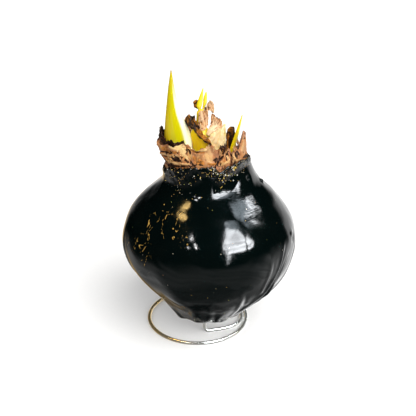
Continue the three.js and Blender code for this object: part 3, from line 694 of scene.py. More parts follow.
def wax_skin():
    columns = 400
    grid, degrees, lifted = wax_surface(columns)
    left = near(degrees, 232, 24)
    broken = 0.2
    for at, wide, share in ((290, 18, 1), (236, 14, 0.85), (330, 16, 0.7)):
        broken = broken + share * near(degrees, at, wide)
    crust = smooth(lerp(113, 98, left), lerp(119, 113, left), lifted) * clip(broken, 0, 1)
    # Gold flecks: partly bits of skin, partly painted glints of a warm lamp.
    flecks_and_glints = 0
    for at, middle, share, wide, tall in GOLD_FLECK_AND_GLINT_MARKS:
        flecks_and_glints = flecks_and_glints + share * hill(past(degrees, at) / wide, (lifted - middle) / tall)
    rippled = hill(past(degrees, 306) / 30, (lifted - 104) / 7)
    skin = Skin()
    uv = arange(columns)[None] / columns * 3.2, lifted / 100
    skin.tube(grid, uv, (rippled, crust, clip(flecks_and_glints, 0, 1)))
    skin.piece("wax_skin", WAX, "black_wax", "wax_coat")


# ---------------- shoots


def tapered(shape, sides=64, steps=120, keel=0.0, turn=0.0):
    """A tapering leaf or bud, as in the source: rows give height, middle x, y, half width and
    half depth. Returns its grid of points with the angle and height of each."""
    height = linspace(shape[0][0], shape[-1][0], steps)[:, None]
    degrees = all_round(sides)
    angle, swing = radians(degrees), radians(turn)
    x, y, half_width, half_depth = (curve(shape, height, column) for column in (1, 2, 3, 4))
    across = cos(angle) * half_width
    deep = sin(angle) * (1 + keel * np.abs(sin(angle)) ** 3) * half_depth
    x = x + across * cos(swing) - deep * sin(swing)
    y = y + across * sin(swing) + deep * cos(swing)
    return stack(x, y, height), turned(degrees), height


def closed_tube(name, grid, tone, material, slot, node, girth=0.36):
    sides = grid.shape[1]
    foot, before, top = grid[[0, -2, -1]].mean(1)
    skin = Skin()
    uv = arange(sides)[None] / sides * girth, grid[..., 2] / 100
    skin.tube(grid, uv, tone, caps=(foot, top + (top - before) / 2))
    skin.piece(name, material, slot, node)


LARGE_SHOOT = [
    (112, -13.2, -1.5, 4.6, 4), (120, -13.4, -1.8, 6.2, 4.8), (127, -14.3, -2, 7.8, 5.2),
    (132, -14.8, -1.8, 7.7, 4.9), (138, -15.6, -1.4, 6.6, 4.3), (148, -17.3, -0.8, 4, 3),
    (160, -18, -0.3, 1.9, 1.6), (170.5, -18, 0, 0.3, 0.3),
]
CENTRE_SHOOT = [
    (110, 2, 0.5, 6.8, 6.5), (119, 1.6, 0, 8, 7.6), (127, 1.5, 0, 8.2, 7.8), (131.5, 0.5, 0, 8, 7.4),
    (135, -1.9, -0.2, 5.8, 5.4), (138, -2.2, -0.4, 3.6, 3.4), (141.5, -1.9, -0.4, 2.5, 2.3),
    (148.4, -1.7, -0.4, 2.4, 2.4),
]
TIP_LEFT = [
    (144, -2.5, -0.9, 0.5, 0.5), (148, -2.6, -0.95, 0.55, 0.5), (150.6, -2.7, -0.9, 1.5, 1.1),
    (155, -1.7, -0.6, 1.2, 0.9), (160.6, -0.5, -0.4, 0.25, 0.25),
]
TIP_RIGHT = [
    (144, -0.5, 0, 0.4, 0.45), (148.6, -0.4, 0, 0.5, 0.5), (151.4, 0.4, 0, 1, 0.9),
    (155, 0.8, 0.2, 1, 0.8), (158, 1.2, 0.3, 0.45, 0.4),
]
TIP_DEAD = [
    (144.6, -2.3, 0.85, 0.4, 0.4), (147.6, -2.6, 0.95, 0.4, 0.4), (149.2, -4.3, 1.8, 1.3, 1),
    (151.8, -4.5, 1.9, 1.4, 1.1), (153.2, -4.1, 1.9, 0.5, 0.5),
]
THIN_LEAF = [
    (113, 12.6, -5.4, 1.7, 1.1), (122, 14.6, -4.8, 1.4, 1), (134, 18.2, -3.4, 1.2, 0.9),
    (145.5, 21.3, -2, 0.3, 0.3),
]
SHARD = [
    (114, 14.8, 1.2, 2.5, 0.7), (124, 15.1, 1.3, 2.7, 0.65), (132, 15.2, 1.3, 2.6, 0.6),
    (136, 15.3, 1.2, 2.2, 0.5), (138, 15.8, 1.2, 1.2, 0.4),
]


def shoots():
    grid, degrees, z = tapered(LARGE_SHOOT, 96, 150, keel=0.03)
    lift = 0.12 * noise(grid * (1, 1, 0.12), 2.2, 12)
    grid = raised(grid, lift * smooth(112, 130, z) * (1 - smooth(158, 170, z)))
    # Pale, on the right where the key light falls, is painted light; warm is the ochre of the left side,
    # partly the shoot's colour and partly painted shade, and of the tip.
    fold = 296 - 10 * smooth(128, 165, z)
    pale = smooth(fold - 2, fold + 14, degrees) + 0.15 * (1 - smooth(119, 127, z))
    pale = np.where(degrees < 60, 1 - smooth(20, 60, degrees), pale) * (1 - smooth(150, 168, z))
    warm = near(degrees, 205, 40) * (1 - 0.5 * smooth(150, 170, z)) + 0.5 * smooth(160, 170, z)
    tone = 0.75 * smooth(168.6, 170.5, z), clip(pale, 0, 1), warm
    closed_tube("large_shoot", grid, tone, LARGE_LEAF, "leaf_yellow", "shoot_large")

    grid, degrees, z = tapered(CENTRE_SHOOT, 96, 90)
    grid = raised(grid, 0.25 * noise(grid * (1, 1, 0.1), 2.6, 13))
    grid[..., :2] = lerp(grid[..., :2], (-1.7, -0.4), 0.5 * smooth(146.6, 148.4, z)[..., None])
    dark = 0.6 * hill((z - 121) / 2.5) + 0.3 * smooth(140, 146, z)
    warm = clip(0.5 + 0.7 * noise(grid * (1, 1, 0.2), 3, 14), 0, 1)
    # Pale on the front-right is painted light from the key light.
    tone = dark, 0.35 * near(degrees, 300, 25), warm
    closed_tube("centre_bundle", grid, tone, INNER_LEAF, "leaf_yellow", "shoot_centre")

    for name, rows in (("tip_left", TIP_LEFT), ("tip_right", TIP_RIGHT)):
        grid, degrees, z = tapered(rows, 32, 60)
        # Pale on the right is painted light from the key light; warm on the left is partly painted shade, and
        # lower down their own warmer colour.
        warm = 0.5 * near(degrees, 190, 50) + 0.6 * (1 - smooth(147, 150, z))
        tone = 0, 0.5 * near(degrees, 310, 40), warm
        closed_tube(name, grid, tone, LEAF, "leaf_yellow", "leaf_" + name, girth=0.07)

    grid, degrees, z = tapered(THIN_LEAF, 32, 90, turn=20)
    # Pale on the front-right is painted light from the key light.
    warm = 0.8 * near(degrees, 230, 50) + 0.3 * (1 - smooth(120, 130, z))
    tone = 0.9 * (1 - smooth(116, 124, z)), 0.8 * near(degrees, 320, 40), warm
    closed_tube("thin_leaf", grid, tone, LEAF, "leaf_yellow", "leaf_thin", girth=0.08)

    grid, degrees, z = tapered(TIP_DEAD, 36, 60)
    lift = 0.35 * creased(grid, 1.6, 15) * smooth(148, 150, z)
    # Darker in the creases and lighter on the swellings: painted shade and painted highlight.
    tone = clip(0.65 - 1.4 * lift, 0, 1), 0, 0.5
    closed_tube("dead_tip", raised(grid, lift), tone, DARK, "scale_dark", "leaf_tip_dead", girth=0.07)

    grid, degrees, z = tapered(SHARD, 48, 90, turn=-12)
    lift = 0.45 * creased(grid * (1, 1, 0.5), 2.0, 16) * smooth(118, 124, z)
    grid = raised(grid, lift)
    grid[..., 2] += 0.7 * noise(grid, 1.5, 17) * smooth(134, 139, z)
    # Darker in the creases and lighter on the swellings: painted shade and painted highlight; lighter too
    # towards 225 degrees.
    tone = clip(0.95 - lift * 1.2 - 0.6 * near(degrees, 225, 30), 0, 1), 0, 0.3
    closed_tube("torn_shard", grid, tone, DARK, "scale_dark", "tunic_shard", girth=0.13)


# ---------------- bulb


def bulb_flesh():
    """The fleshy body under the wax, and its neck, where the cut scales show as rings."""
    columns, rings = 120, 3
    base, hole_top = BASE_Z + WAX_AND_GAP, SPIKE_TOP_Z + GAP
    inset = WAX_AND_GAP + 2 * TUNIC_STEP
    neck = body_radius(RIM_Z) - inset
    profile = [(0.05, hole_top), (SPIKE_HOLE_RADIUS, hole_top), (SPIKE_HOLE_RADIUS, base), (13, base)]
    profile += [(body_radius(z) - WAX_AND_GAP * wall_share(z), z) for z in linspace(20.5, 104, 40)]
    profile += [(body_radius(z) - inset - 0.1, z) for z in linspace(105.5, 115.5, 6)]
    for i in range(rings):
        outer, inner = lerp(neck, 5, i / rings), lerp(neck, 5, (i + 0.8) / rings)
        for share in linspace(0, 1, 6):
            profile.append((lerp(outer, inner + 0.6, share), NECK_TOP_Z + 0.6 + 0.4 * sin(pi * share)))
        profile.append((inner, NECK_TOP_Z - 1))
    profile.append((0.05, NECK_TOP_Z - 0.5))
    radius, z = np.array(profile).T[:, :, None]
    grid = on_bulb(radius, turned(all_round(columns)), z)
    top = smooth(112, 117, z)
    grid[..., 2] += top * (0.35 * noise(grid, 2.5, 21) + 0.5 * noise(grid, 7, 22))
    dark = top * clip(0.35 + 0.5 * noise(grid, 3, 23), 0, 1)
    warm = top * clip(0.4 + 0.6 * noise(grid, 4, 24), 0, 1)
    skin = Skin()
    skin.tube(grid, (arange(columns)[None] / columns * 1.6, z / 100), (dark, 0.4 * top, warm))
    skin.piece("bulb_flesh", PALE_LEAF, "bulb_flesh", "bulb")


# ---------------- dry scales

PAPER = 0.4  # thickness shown; the source's solids are thicker
SCALE_RADIUS = 25  # about where the scales stand round the neck

SCALES = [  # name, node, layer, seed, tear, flare, edge as (degrees, height), and patches as
    # degrees, height, half width in degrees, half height, and what they add to (dark, pale, warm)
    ("scale_left", "tunic_left", 0, 41, 0.7, 1.1,
     [(156, 127), (170, 130), (184, 130.4), (192, 130.4), (207.6, 131.6)], [(176, 126, 8, 4, 0.6, 0, 0)]),
    ("scale_front", "tunic_front", 0, 42, 0.4, 1.1,
     [(208, 131.8), (219, 133), (242, 134.6), (250, 133), (257, 132.4), (268, 133.2), (278, 135.8),
      (286, 131.5), (292, 131.5), (298, 133.5), (304, 129.5)],
     [(266, 128, 12, 5, -0.3, 0.2, -0.3), (215, 121, 6, 2.5, 0.5, 0, 0)]),
    ("scale_right", "tunic_right", 0, 43, 0.3, 0.3,
     [(308, 126), (313, 129), (318, 130.5), (322, 131.5), (326.6, 132.6), (328.6, 139), (338, 138.8),
      (346.5, 137.2), (350, 130), (356, 126), (372, 124)],
     [(312, 124, 3, 5, 0.5, 0, 0), (338, 128, 8, 5, -0.3, 0.2, -0.3)]),
    ("scale_back", "tunic_back", 0, 44, 1.2, 1.1,
     [(40, 121), (70, 123), (92, 128), (118, 132), (136, 128), (152, 129)],
     # its dark patch at 134 degrees is painted shade in the gap by the big shoot
     [(100, 126, 16, 4, 0.3, 0.2, 0.3), (134, 126, 16, 9, 1.1, 0, 0)]),
    ("scale_inner_left", "tunic_inner_left", 1, 45, 0.9, 1.1,
     [(156, 130), (164, 134), (173, 138.4), (184, 137.4), (192, 134.6), (218, 135.4), (234, 135.2),
      (242, 131.5), (252, 129)],
     # its dark patches are partly the dark inner scale and partly painted shade under the big shoot
     [(222, 134, 40, 5, 1.2, 0, 0), (170, 136, 12, 5, 0.9, 0, 0.1)]),
    ("scale_inner_right", "tunic_inner_right", 1, 46, 1.0, 1.1,
     [(292, 130), (296, 133.5), (302, 134.5), (310, 129), (330, 128), (352, 125), (384, 122)],
     [(300, 132, 7, 4, 0.7, 0, 0.3), (345, 124, 20, 4, 0.2, 0.2, 0.2)]),
]
STRIPS = {  # from (degrees, height) to (degrees, height), half width, dark, pale, warm, rise
    "cream_top": (222, 132, 239, 132.5, 1.6, -0.6, 1, 0.15, 0.15),
    "cream_middle": (230, 130, 240, 130, 1.5, -0.6, 1, 0.1, 0.15),
    "cream_tail": (236, 129, 244, 126, 1.1, -0.5, 0.9, 0.3, 0.1),
    "rust_left": (204, 128.5, 226, 129.5, 1.8, 0.3, -0.5, 1, 0.1),
    "edge_strip": (194, 131, 202, 128, 0.8, 0, 0.3, 0.9, 0.3),
    "grey_strip": (190, 124, 234, 128, 0.7, -0.2, 0.45, -0.2, 0.35),
    # Strips that sink and turn dark hold painted shadow in the gaps and cracks between layers.
    "shadow_gap_high": (188, 125.2, 222, 128.4, 0.4, 1, -1, 0, -0.4),
    "red_strip": (190, 122.5, 237, 127, 0.6, 0.4, -0.4, 0.6, 0),
    "shadow_gap_left": (192, 122, 204, 120.5, 1.1, 1.3, -1, 0, -0.6),
    "shadow_band": (214, 124.3, 240, 125.8, 1.2, 1, -1, -0.2, -0.45),
    "shadow_band_end": (237, 127, 245, 125, 0.8, 0.8, -1, 0, -0.3),
    "tan_strip": (208, 122, 234, 123.5, 0.7, -0.4, 0.6, 0.1, 0.4),
    "tan_tail": (234, 123.5, 247, 124, 0.6, -0.3, 0.5, 0.2, 0.4),
    "low_brown": (188, 118, 241, 122.3, 0.5, 0.5, -0.4, 0.7, 0.1),
    "orange_wedge": (244, 131.5, 248, 127, 1.3, -0.2, 0.4, 0.9, 0.1),
    "lip_strip": (244, 132, 270, 132.5, 0.7, -0.4, 0.5, 0.5, 0.35),
    "lip_shade": (249, 131, 272, 131, 0.7, 0.3, -0.3, 1, -0.1),
    "pink_face": (272, 134, 276, 127.5, 2.8, -0.5, 0.35, -0.5, 0.1),
    "rust_face": (252, 127.5, 266, 125.5, 1.9, 0.15, -0.3, 0.8, 0.1),
    "rust_rim": (273, 125, 290, 124, 0.5, 0.2, -0.3, 1, 0.15),
    "shaded_crack_low": (250, 125, 257, 122.5, 0.35, 1, -1, 0.3, -0.4),
    "shaded_crack_corner": (246, 123.5, 250, 122, 0.3, 0.9, -1, 0.3, -0.3),
    "shaded_crack_high": (294, 130, 296, 134, 0.6, 1.3, -1, 0.2, -0.6),
    "shaded_crack_thin": (290, 126, 294, 129, 0.35, 1, -1, 0.2, -0.5),
    "shaded_crack_long": (286, 123.5, 297, 128, 0.6, 1.3, -1, 0, -0.6),
    "shaded_crack_right": (304, 128, 306, 134, 0.6, 1.3, -1, 0, -0.6),
    "brown_front": (298, 129, 300, 135, 1.5, 0.35, -0.4, 0.7, 0.1),
    "light_band": (289, 123, 306, 126, 0.6, -0.4, 0.5, 0.1, 0.4),
    "light_rim": (300, 124.5, 326, 124, 0.5, -0.3, 0.45, 0.1, 0.3),
    "tan_right": (300, 127.5, 314, 127, 1.3, -0.4, 0.4, -0.4, 0.15),
    "brown_right": (311, 126.5, 328, 126.5, 0.8, 0.4, -0.3, 0.3, -0.1),
    "red_right": (310, 129.5, 320, 129.5, 0.5, 0.35, -0.3, 0.8, 0.1),
    "dark_roll": (332, 124, 361, 122, 0.9, 0.9, -0.6, 0.4, 0.3),
    "flap_edge": (329, 133, 331, 138.5, 0.8, 1.3, -1, 0.1, -0.1),
    "flap_face": (333, 128, 339, 134.5, 1, -0.3, 0.3, -0.2, 0.1),
}


def strips(degrees, z):
    """What the strips add to (dark, pale, warm), and how far they stand out, in millimetres."""
    around = SCALE_RADIUS * radians(degrees)
    wander = noise(stack(0.7 * around, z, 3.0), 1.6, 93)
    added = np.zeros((4, 1, 1))
    for from_at, from_z, to_at, to_z, half, *changes in STRIPS.values():
        right, up = around - SCALE_RADIUS * radians(from_at), z - from_z
        run, climb = SCALE_RADIUS * radians(to_at - from_at), to_z - from_z
        t = clip((right * run + up * climb) / (run * run + climb * climb), 0, 1)
        away = np.hypot(right - t * run, up - t * climb) / half + 0.35 * wander
        share = 1 - smooth(0.7, 1.2, away + 0.4 * np.abs(2 * t - 1) ** 3)
        added = added + np.reshape(changes, (4, 1, 1)) * share
    return added


def crumple(degrees, z):
    """The fine wrinkles of all the dry scales: one field, so that layers nest."""
    angle = radians(degrees)
    flat = 1 - smooth(215, 300, degrees) * (1 - smooth(340, 360, degrees))
    p = stack(24 * cos(angle), 24 * sin(angle), (z - 125) * lerp(0.8, 1.7, flat))
    return 0.34 * creased(p, 4.4, 51) + 0.24 * creased(p, 2.1, 52) + 0.12 * noise(p, 1.1, 53)


def dry_scale(name, node, layer, seed, tear, flare, edge, patches):
    start, end = edge[0][0], edge[-1][0]
    t = linspace(0, 1, 110)[:, None]
    degrees = linspace(start, end, int((end - start) / 0.5))[None]
    round_angle = turned(degrees)
    top = along(edge, degrees) + ragged(degrees, tear) + torn(degrees, 0.8 * tear, seed)
    z = lerp(TUCK_Z + GAP, top, t**0.9)
    above_wax = z - RIM_Z - along(RIM_RISE, round_angle)
    free = smooth(-1.5, 2.5, above_wax)
    wrinkle = crumple(round_angle, z)
    added = strips(degrees, z) if layer == 0 else np.zeros((4, 1, 1))
    outside = body_radius(z) - WAX_AND_GAP - layer * TUNIC_STEP + pucker(round_angle, z)
    outside = outside + free * (wrinkle + added[3])
    outside = outside + flare * smooth(5, 0, top - z) * noise(stack(degrees, 0.0, 9.0 * seed), 9, seed)
    if node == "tunic_left":  # its margin curls outwards, over a hollow
        outside = outside + 2.6 * hill((degrees - 186) / 5, (z - 128.4) / 2.4)
        outside = outside - 1.9 * smooth(3, 9, z - RIM_Z) * hill((degrees - 184) / 16)
    from_side = np.minimum(degrees - start, end - degrees)
    thickness = PAPER * lerp(0.45, 1, smooth(0, 2.5, np.minimum(top - z, from_side * 0.4)))
    outer, inner = on_bulb(outside, round_angle, z), on_bulb(outside - thickness, round_angle, z)

    # Dark in the creases is painted shade; it is also darker just above the wax and along the torn top.
    dark = 0.14 + 0.95 * smooth(-0.02, -0.42, wrinkle) * free + 0.25 * smooth(3, 0, above_wax)
    dark = dark + 0.35 * smooth(1.2, 0.1, top - z) * (noise(outer, 2.5, seed + 61) + 0.6)
    warm = 0.15 + 0.5 * noise(outer, 6, seed + 60)
    tone = np.array([dark, 0 * dark, warm]) + added[:3]
    for at, middle, wide, tall, *changes in patches:
        tone = tone + np.reshape(changes, (3, 1, 1)) * hill((degrees - at) / wide, (z - middle) / tall)
    upright = radians(lerp(8, 65, smooth(225, 330, round_angle)))
    u, v = radians(degrees) * 0.24, (z - 125) / 100
    fibres = u * sin(upright) - v * cos(upright), u * cos(upright) + v * sin(upright)
    skin = Skin()
    skin.sheet(outer, inner, fibres, clip(tone, 0, 1))
    skin.piece(name, BROWN, "scale_brown", node)


# ---------------- scales of the middle bundle


def wrap(name, node, axis, low, high, material, slot, seed, paint, size, sweep, thick=TUNIC_THICKNESS,
         shown=0.45, bulge=0.0, lean=0.0, folds=0.5, tear=0.6, crease=0.4):
    """A scale wrapped round an upright axis, as in the source, with finer creases that run at
    sweep degrees above level, to the right."""
    start, end = low[0][0], low[-1][0]
    t = linspace(0, 1, 56)[:, None]
    degrees = linspace(start, end, int((end - start) / 1.1))[None]
    angle = radians(degrees)
    top = along(high, degrees) + ragged(degrees, tear) + torn(degrees, 0.35, seed)
    z = lerp(along(low, degrees), top, t)
    fold = folds * smooth(0, 0.4, t) * (sin(11 * angle + z * 0.9) + 1)
    x, y, radius = (curve(axis, z, column) for column in (1, 2, 3))

    girth, climb = 8 * angle, radians(sweep)
    lengthwise = girth * cos(climb) + z * sin(climb)
    across = z * cos(climb) - girth * sin(climb)
    p = stack(0.3 * lengthwise, across, 0.0)
    wrinkle = 0.65 * creased(p, size, seed + 1) + 0.35 * creased(p, size * 0.45, seed + 2)
    outside = radius + bulge * sin(pi * t) ** 1.5 + lean * t**3 + fold + thick / 2 + crease * wrinkle
    outer, inner = (
        stack(x + r * cos(angle), y + r * sin(angle), z) for r in (outside, outside - min(shown, thick))
    )
    blotches = 0.2 + 0.6 * noise(outer, 3, seed + 3)
    tone = [clip(part, 0, 1) for part in paint(degrees, z, t, wrinkle, blotches)]
    skin = Skin()
    skin.sheet(outer, inner, (across / 100, lengthwise / 100), tone)
    skin.piece(name, material, slot, node)


def paint_pale(degrees, z, t, wrinkle, blotches):
    # Darker in the creases and paler on the ridges: painted shade and painted highlight.
    dark = 0.6 * smooth(-0.25, -0.8, wrinkle) + 0.2 * smooth(0.93, 1, t)
    warm = 0.35 * smooth(335, 345, degrees) + 0.9 * hill((degrees - 352) / 8) - 0.5 * wrinkle
    return dark, 0.35 + 0.8 * wrinkle, warm


def paint_roll(degrees, z, t, wrinkle, blotches):
    # Dark in the creases is painted shade, and the orange on the ridges partly its colour and partly painted
    # highlight; also darker along its foot and at 246 degrees.
    dark = 0.5 + 0.9 * smooth(0.25, -0.3, wrinkle) + 0.6 * hill((t - 0.03) / 0.16)
    return dark + 0.35 * hill(past(degrees, 246) / 10, (t - 0.3) / 0.3), 0, 0.35 + 0.8 * wrinkle


def paint_pink(degrees, z, t, wrinkle, blotches):
    # Darker in the creases and paler on the ridges: painted shade and painted highlight.
    return 0.15 + 0.9 * smooth(0.05, -0.6, wrinkle), 0.1 + 0.7 * wrinkle, blotches


def paint_hood(degrees, z, t, wrinkle, blotches):
    # lit is a painted highlight on the front of the hood; the darker creases are painted shade.
    lit = hill(past(degrees, 262) / 40, (t - 0.45) / 0.4)
    dark = 0.9 * smooth(0.05, -0.6, wrinkle) * (1 - 0.5 * lit) + 0.25 * smooth(0.95, 1, t)
    dark = dark + 0.7 * hill(past(degrees, 330) / 16, (z - 143) / 1.2)
    return dark, 0.1 + 0.7 * lit + 0.3 * wrinkle, 0.3 * (1 - lit)


def paint_frill(degrees, z, t, wrinkle, blotches):
    # Darker in the creases and paler on the ridges: painted shade and painted highlight.
    return 0.2 + 0.8 * smooth(0.1, -0.6, wrinkle), 0.2 + 0.5 * wrinkle, 0.5


def bundle_scales():
    wrap(
        "pale_scale", "scale_pale", [(118, 1.6, 0, 9.4), (128, 1.5, 0, 9.7), (141, 1.6, 0, 9.5)],
        [(274, NECK_TOP_Z + 1.6), (390, NECK_TOP_Z + 1.6)],
        [(274, 134.6), (284, 137.6), (315, 139.4), (345, 139.4), (366, 139), (390, 135)],
        PALE_LEAF, "leaf_pale", 81, paint_pale, size=2.2, sweep=68, thick=1.7, shown=1.2, folds=0.15,
        tear=0.4,
    )
    wrap(
        "dark_roll", "cap_roll",
        [(131, 1.5, 0, 11.6), (134, 0.6, -0.2, 10.4), (137, -1, -0.4, 8), (140, -1.7, -0.4, 6.8),
         (143, -1.8, -0.4, 6.2), (146, -1.9, -0.4, 5.8)],
        [(120, 138), (165, 138.6), (196, 139), (214, 139.2), (230, 138.6), (244, 137), (258, 134.6),
         (270, 132.6), (284, 131)],
        [(120, 141), (165, 144), (196, 145), (214, 145.8), (236, 146.2), (248, 145), (258, 142.5), (270, 139),
         (284, 135)],
        DARK, "scale_dark", 82, paint_roll, size=2.0, sweep=-60, shown=0.9, bulge=1.1, lean=0.2, crease=0.85,
    )
    wrap(
        "neck_sheath", "cap_sheath",
        [(z, x, y, radius + GAP + 0.2 + TUNIC_THICKNESS / 2) for z, x, y, radius, _ in CENTRE_SHOOT],
        [(252, 139.4), (286, 137.6), (305, 138), (330, 139.4), (420, 139.6)],
        [(252, 148.2), (275, 149), (300, 148.4), (330, 149), (420, 148.6)],
        PINK, "scale_pink", 83, paint_pink, size=1.3, sweep=-72, bulge=0.2, folds=0.15, tear=0.4, crease=0.35,
    )
    wrap(
        "pale_hood", "cap_hood",
        [(135.6, 2.4, 0, 6.8), (138, 4.9, -0.2, 4.6), (140, 6.8, -0.3, 2.9), (142, 7.1, -0.2, 2.6),
         (145.5, 6.5, 0, 1.7)],
        [(20, 138.6), (60, 139.6), (200, 140), (225, 139), (245, 137.4), (258, 136), (275, 135.2),
         (300, 135.2), (340, 135.6)],
        [(20, 140.5), (60, 142.5), (150, 145.2), (240, 144.8), (300, 143.2), (340, 140.5)],
        PINK, "scale_pink", 84, paint_hood, size=1.5, sweep=24, folds=0.12, tear=0.3, crease=0.45,
    )
    wrap(
        "torn_frill", "cap_frill", [(146, 3.1, 0, 1.9), (150, 3.1, 0, 1.7), (154, 3.1, 0, 1.3)],
        [(225, 148.6), (270, 148.4), (310, 147.6), (335, 146.4), (400, 146.2)],
        [(225, 151.6), (250, 153.2), (280, 153.8), (320, 153.2), (350, 151.6), (400, 149.6)],
        PINK, "scale_pink", 85, paint_frill, size=1.2, sweep=-50, thick=1.1, shown=1.1, folds=0.12, tear=0.2,
    )


# ---------------- crumbs and flakes


def crumbs():
    """Crumbs of wax and dry scale stuck in the rough wax under the neck."""
    draw = np.random.default_rng(5)
    rings, sides = 5, 7
    polar = linspace(0.2, pi - 0.2, rings)[:, None]
    swing = arange(sides)[None] / sides * 2 * pi
    ball = stack(sin(polar) * cos(swing), sin(polar) * sin(swing), -cos(polar))
    skin = Skin()
    for _ in range(120):
        places = [draw.uniform(*span) for span in ((272, 312), (205, 265), (0, 360))]
        degrees = draw.choice(places, p=[0.64, 0.14, 0.22])
        z = RIM_Z + along(RIM_RISE, degrees) - 0.6 - min(draw.exponential(2.6), 13)
        size = draw.uniform(0.1, 0.22) + 0.2 * draw.uniform() ** 3
        kind = draw.uniform()
        lumpy = ball * size * (1 + 0.35 * draw.uniform(-1, 1, (rings, sides, 1))) * draw.uniform(0.6, 1.5, 3)
        grid = on_bulb(body_radius(z) + 0.1, degrees, z) + lumpy
        tone = (0, 1, 0) if kind < 0.4 else (0, 0.3, 1) if kind < 0.8 else (0.9, 0, 0)
        skin.tube(grid, (0, 0), tone, caps=grid[[0, -1]].mean(1))
    skin.piece("neck_crumbs", CRUMB, "scale_brown")


def flakes():
    """Loose curled flakes along the torn scales."""
    draw = np.random.default_rng(8)
    skin = Skin()
    u, t = linspace(-0.5, 0.5, 7)[None], linspace(0, 1, 9)[:, None]
    for _ in range(64):
        degrees = draw.choice([draw.uniform(30, 155), draw.uniform(200, 330)])
        z = RIM_Z + along(RIM_RISE, degrees) + draw.uniform(0.2, 9)
        length, width = draw.uniform(1.6, 4.2), draw.uniform(0.7, 2.0)
        tilt, bend, sideways = draw.uniform(0.0, 0.5), draw.uniform(-0.25, 0.5), draw.uniform(-1.2, 1.2)
        wide = width * (0.35 + sin(pi * (0.15 + 0.8 * t))) * 0.6 * (1 + 0.2 * draw.uniform(-1, 1, (9, 1)))
        up = z + length * (t - 0.3)
        around = turned(degrees + np.degrees((u * wide + sideways * (t - 0.3)) / 24))
        on_scales = body_radius(up) - WAX_AND_GAP + pucker(around, up) + crumple(around, up) + 0.35
        curled = on_scales + np.minimum(length * (tilt * t + bend * t * t), 0.9) - 0.5 * u * u
        dark = draw.choice([0.0, 0.25, 0.9], p=[0.5, 0.25, 0.25])
        tone = dark, draw.uniform(0, 0.5), draw.uniform(0, 0.8)
        uv = u * 0.02 + draw.uniform(), t * length / 100
        skin.sheet(on_bulb(curled, around, up), on_bulb(curled - 0.25, around, up), uv, tone)
    skin.piece("loose_flakes", BROWN, "scale_brown")


# ---------------- making the pieces

wire_stand()
wax_skin()
bulb_flesh()
shoots()
for scale in SCALES:
    dry_scale(*scale)
bundle_scales()
crumbs()
flakes()

# ---------------- floor, lights and camera


def floor_material():
    s = Shader("pale_floor", Roughness=1.0, Specular_IOR_Level=0.0)
    fibre = s.noise(s.space(), 3, 4)
    return s.finish(s.mixed(s.scaled(fibre, 0.3, 0.7), (0.88, 0.88, 0.88), (0.89, 0.89, 0.89)))


def floor():
    """Pale paper that ends a little in front of the object."""
    front, side, back = -0.13, 2.5, 4.0
    mesh = bpy.data.meshes.new("floor")
    corners = [(-side, front, 0), (side, front, 0), (side, back, 0), (-side, back, 0)]
    mesh.from_pydata(corners, [], [(0, 1, 2, 3)])
    mesh.materials.append(floor_material())
    sheet = new_object("floor", mesh)
    sheet.visible_glossy = False


# What the gloss reflects: soft-edged shapes, each by its corners (azimuth in degrees from +X
# and elevation), taken counter-clockwise as seen from outside, softness in degrees, brightness
# and colour.
COOL, PALE, WHITE, GOLD = (0.78, 0.9, 1.0), (0.93, 0.96, 1.0), (1, 1, 1), (1.0, 0.66, 0.24)
SOFT_SHAPES = {
    "window": ([(290, 48), (289, 28), (293, 21), (303, 20), (326, 25), (337, 34), (333, 40), (326, 46),
                (313, 51), (300, 54), (294, 53)], 4, 31, PALE),
    "window_tail": ([(289, 24), (290, 6), (291, -4), (292.5, 5), (294, 24)], 3, 18, PALE),
    "post_low": ([(308, 20), (312, 20), (320, 38), (317, 39)], 2, -30, PALE),
    "post_high": ([(317, 39), (320, 38), (333, 47), (338, 50), (334, 50.5), (325, 46)], 1.5, -24, PALE),
    "window_fade": ([(292, 52), (330, 46), (330, 52), (316, 58), (298, 59)], 7, 5, COOL),
    "ceiling": ([(338, 55), (346, 47), (356, 46), (16, 47), (4, 60), (350, 67), (341, 63)], 12, 8, COOL),
    "wedge": ([(357, 50), (357, 45), (3, 40), (9, 36), (17, 33), (13, 41), (2, 48)], 3, 26, PALE),
    "lamp": ([(192, 53), (195, 49.5), (202, 47), (213, 48), (217, 51), (214, 55), (203, 56)], 3.5, 26, GOLD),
    "glint_high": ([(233.5, 42), (236, 40.5), (239, 43), (236, 46)], 1.5, 40, WHITE),
    "glint": ([(243, 39), (245, 32), (250, 30), (249, 37)], 1.5, 44, WHITE),
    "glint_low": ([(233.5, 26), (236, 26), (236, 29), (233.5, 29)], 1, 30, WHITE),
}
DOME_RADIUS, DOME_CENTRE_Z = 1.5, 0.08  # metres
FLOOR_GLOW = [  # azimuth, brightness of the floor beyond the object there
    (0, 1.1), (30, 1.2), (60, 1.5), (80, 1.2), (95, 1.0), (106, 0.85), (118, 0.85), (140, 0.65), (162, 0.65),
    (180, 0.45), (196, 0.3), (270, 0.32), (310, 0.38), (335, 0.62), (350, 0.95), (360, 1.1),
]


def share_inside(corners, softness, azimuth, elevation):
    """1 inside a convex outline, falling to 0 over softness degrees across its edge."""
    first = corners[0][0]
    x, y = np.array([(past(a, first), e) for a, e in corners], float).T
    u, depth = past(azimuth, first), np.inf
    for x0, y0, x1, y1 in zip(x, y, np.roll(x, -1), np.roll(y, -1)):
        inwards = (elevation - y0) * (x1 - x0) - (u - x0) * (y1 - y0)
        depth = np.minimum(depth, inwards / np.hypot(x1 - x0, y1 - y0))
    return smooth(-softness / 2, softness / 2, depth)


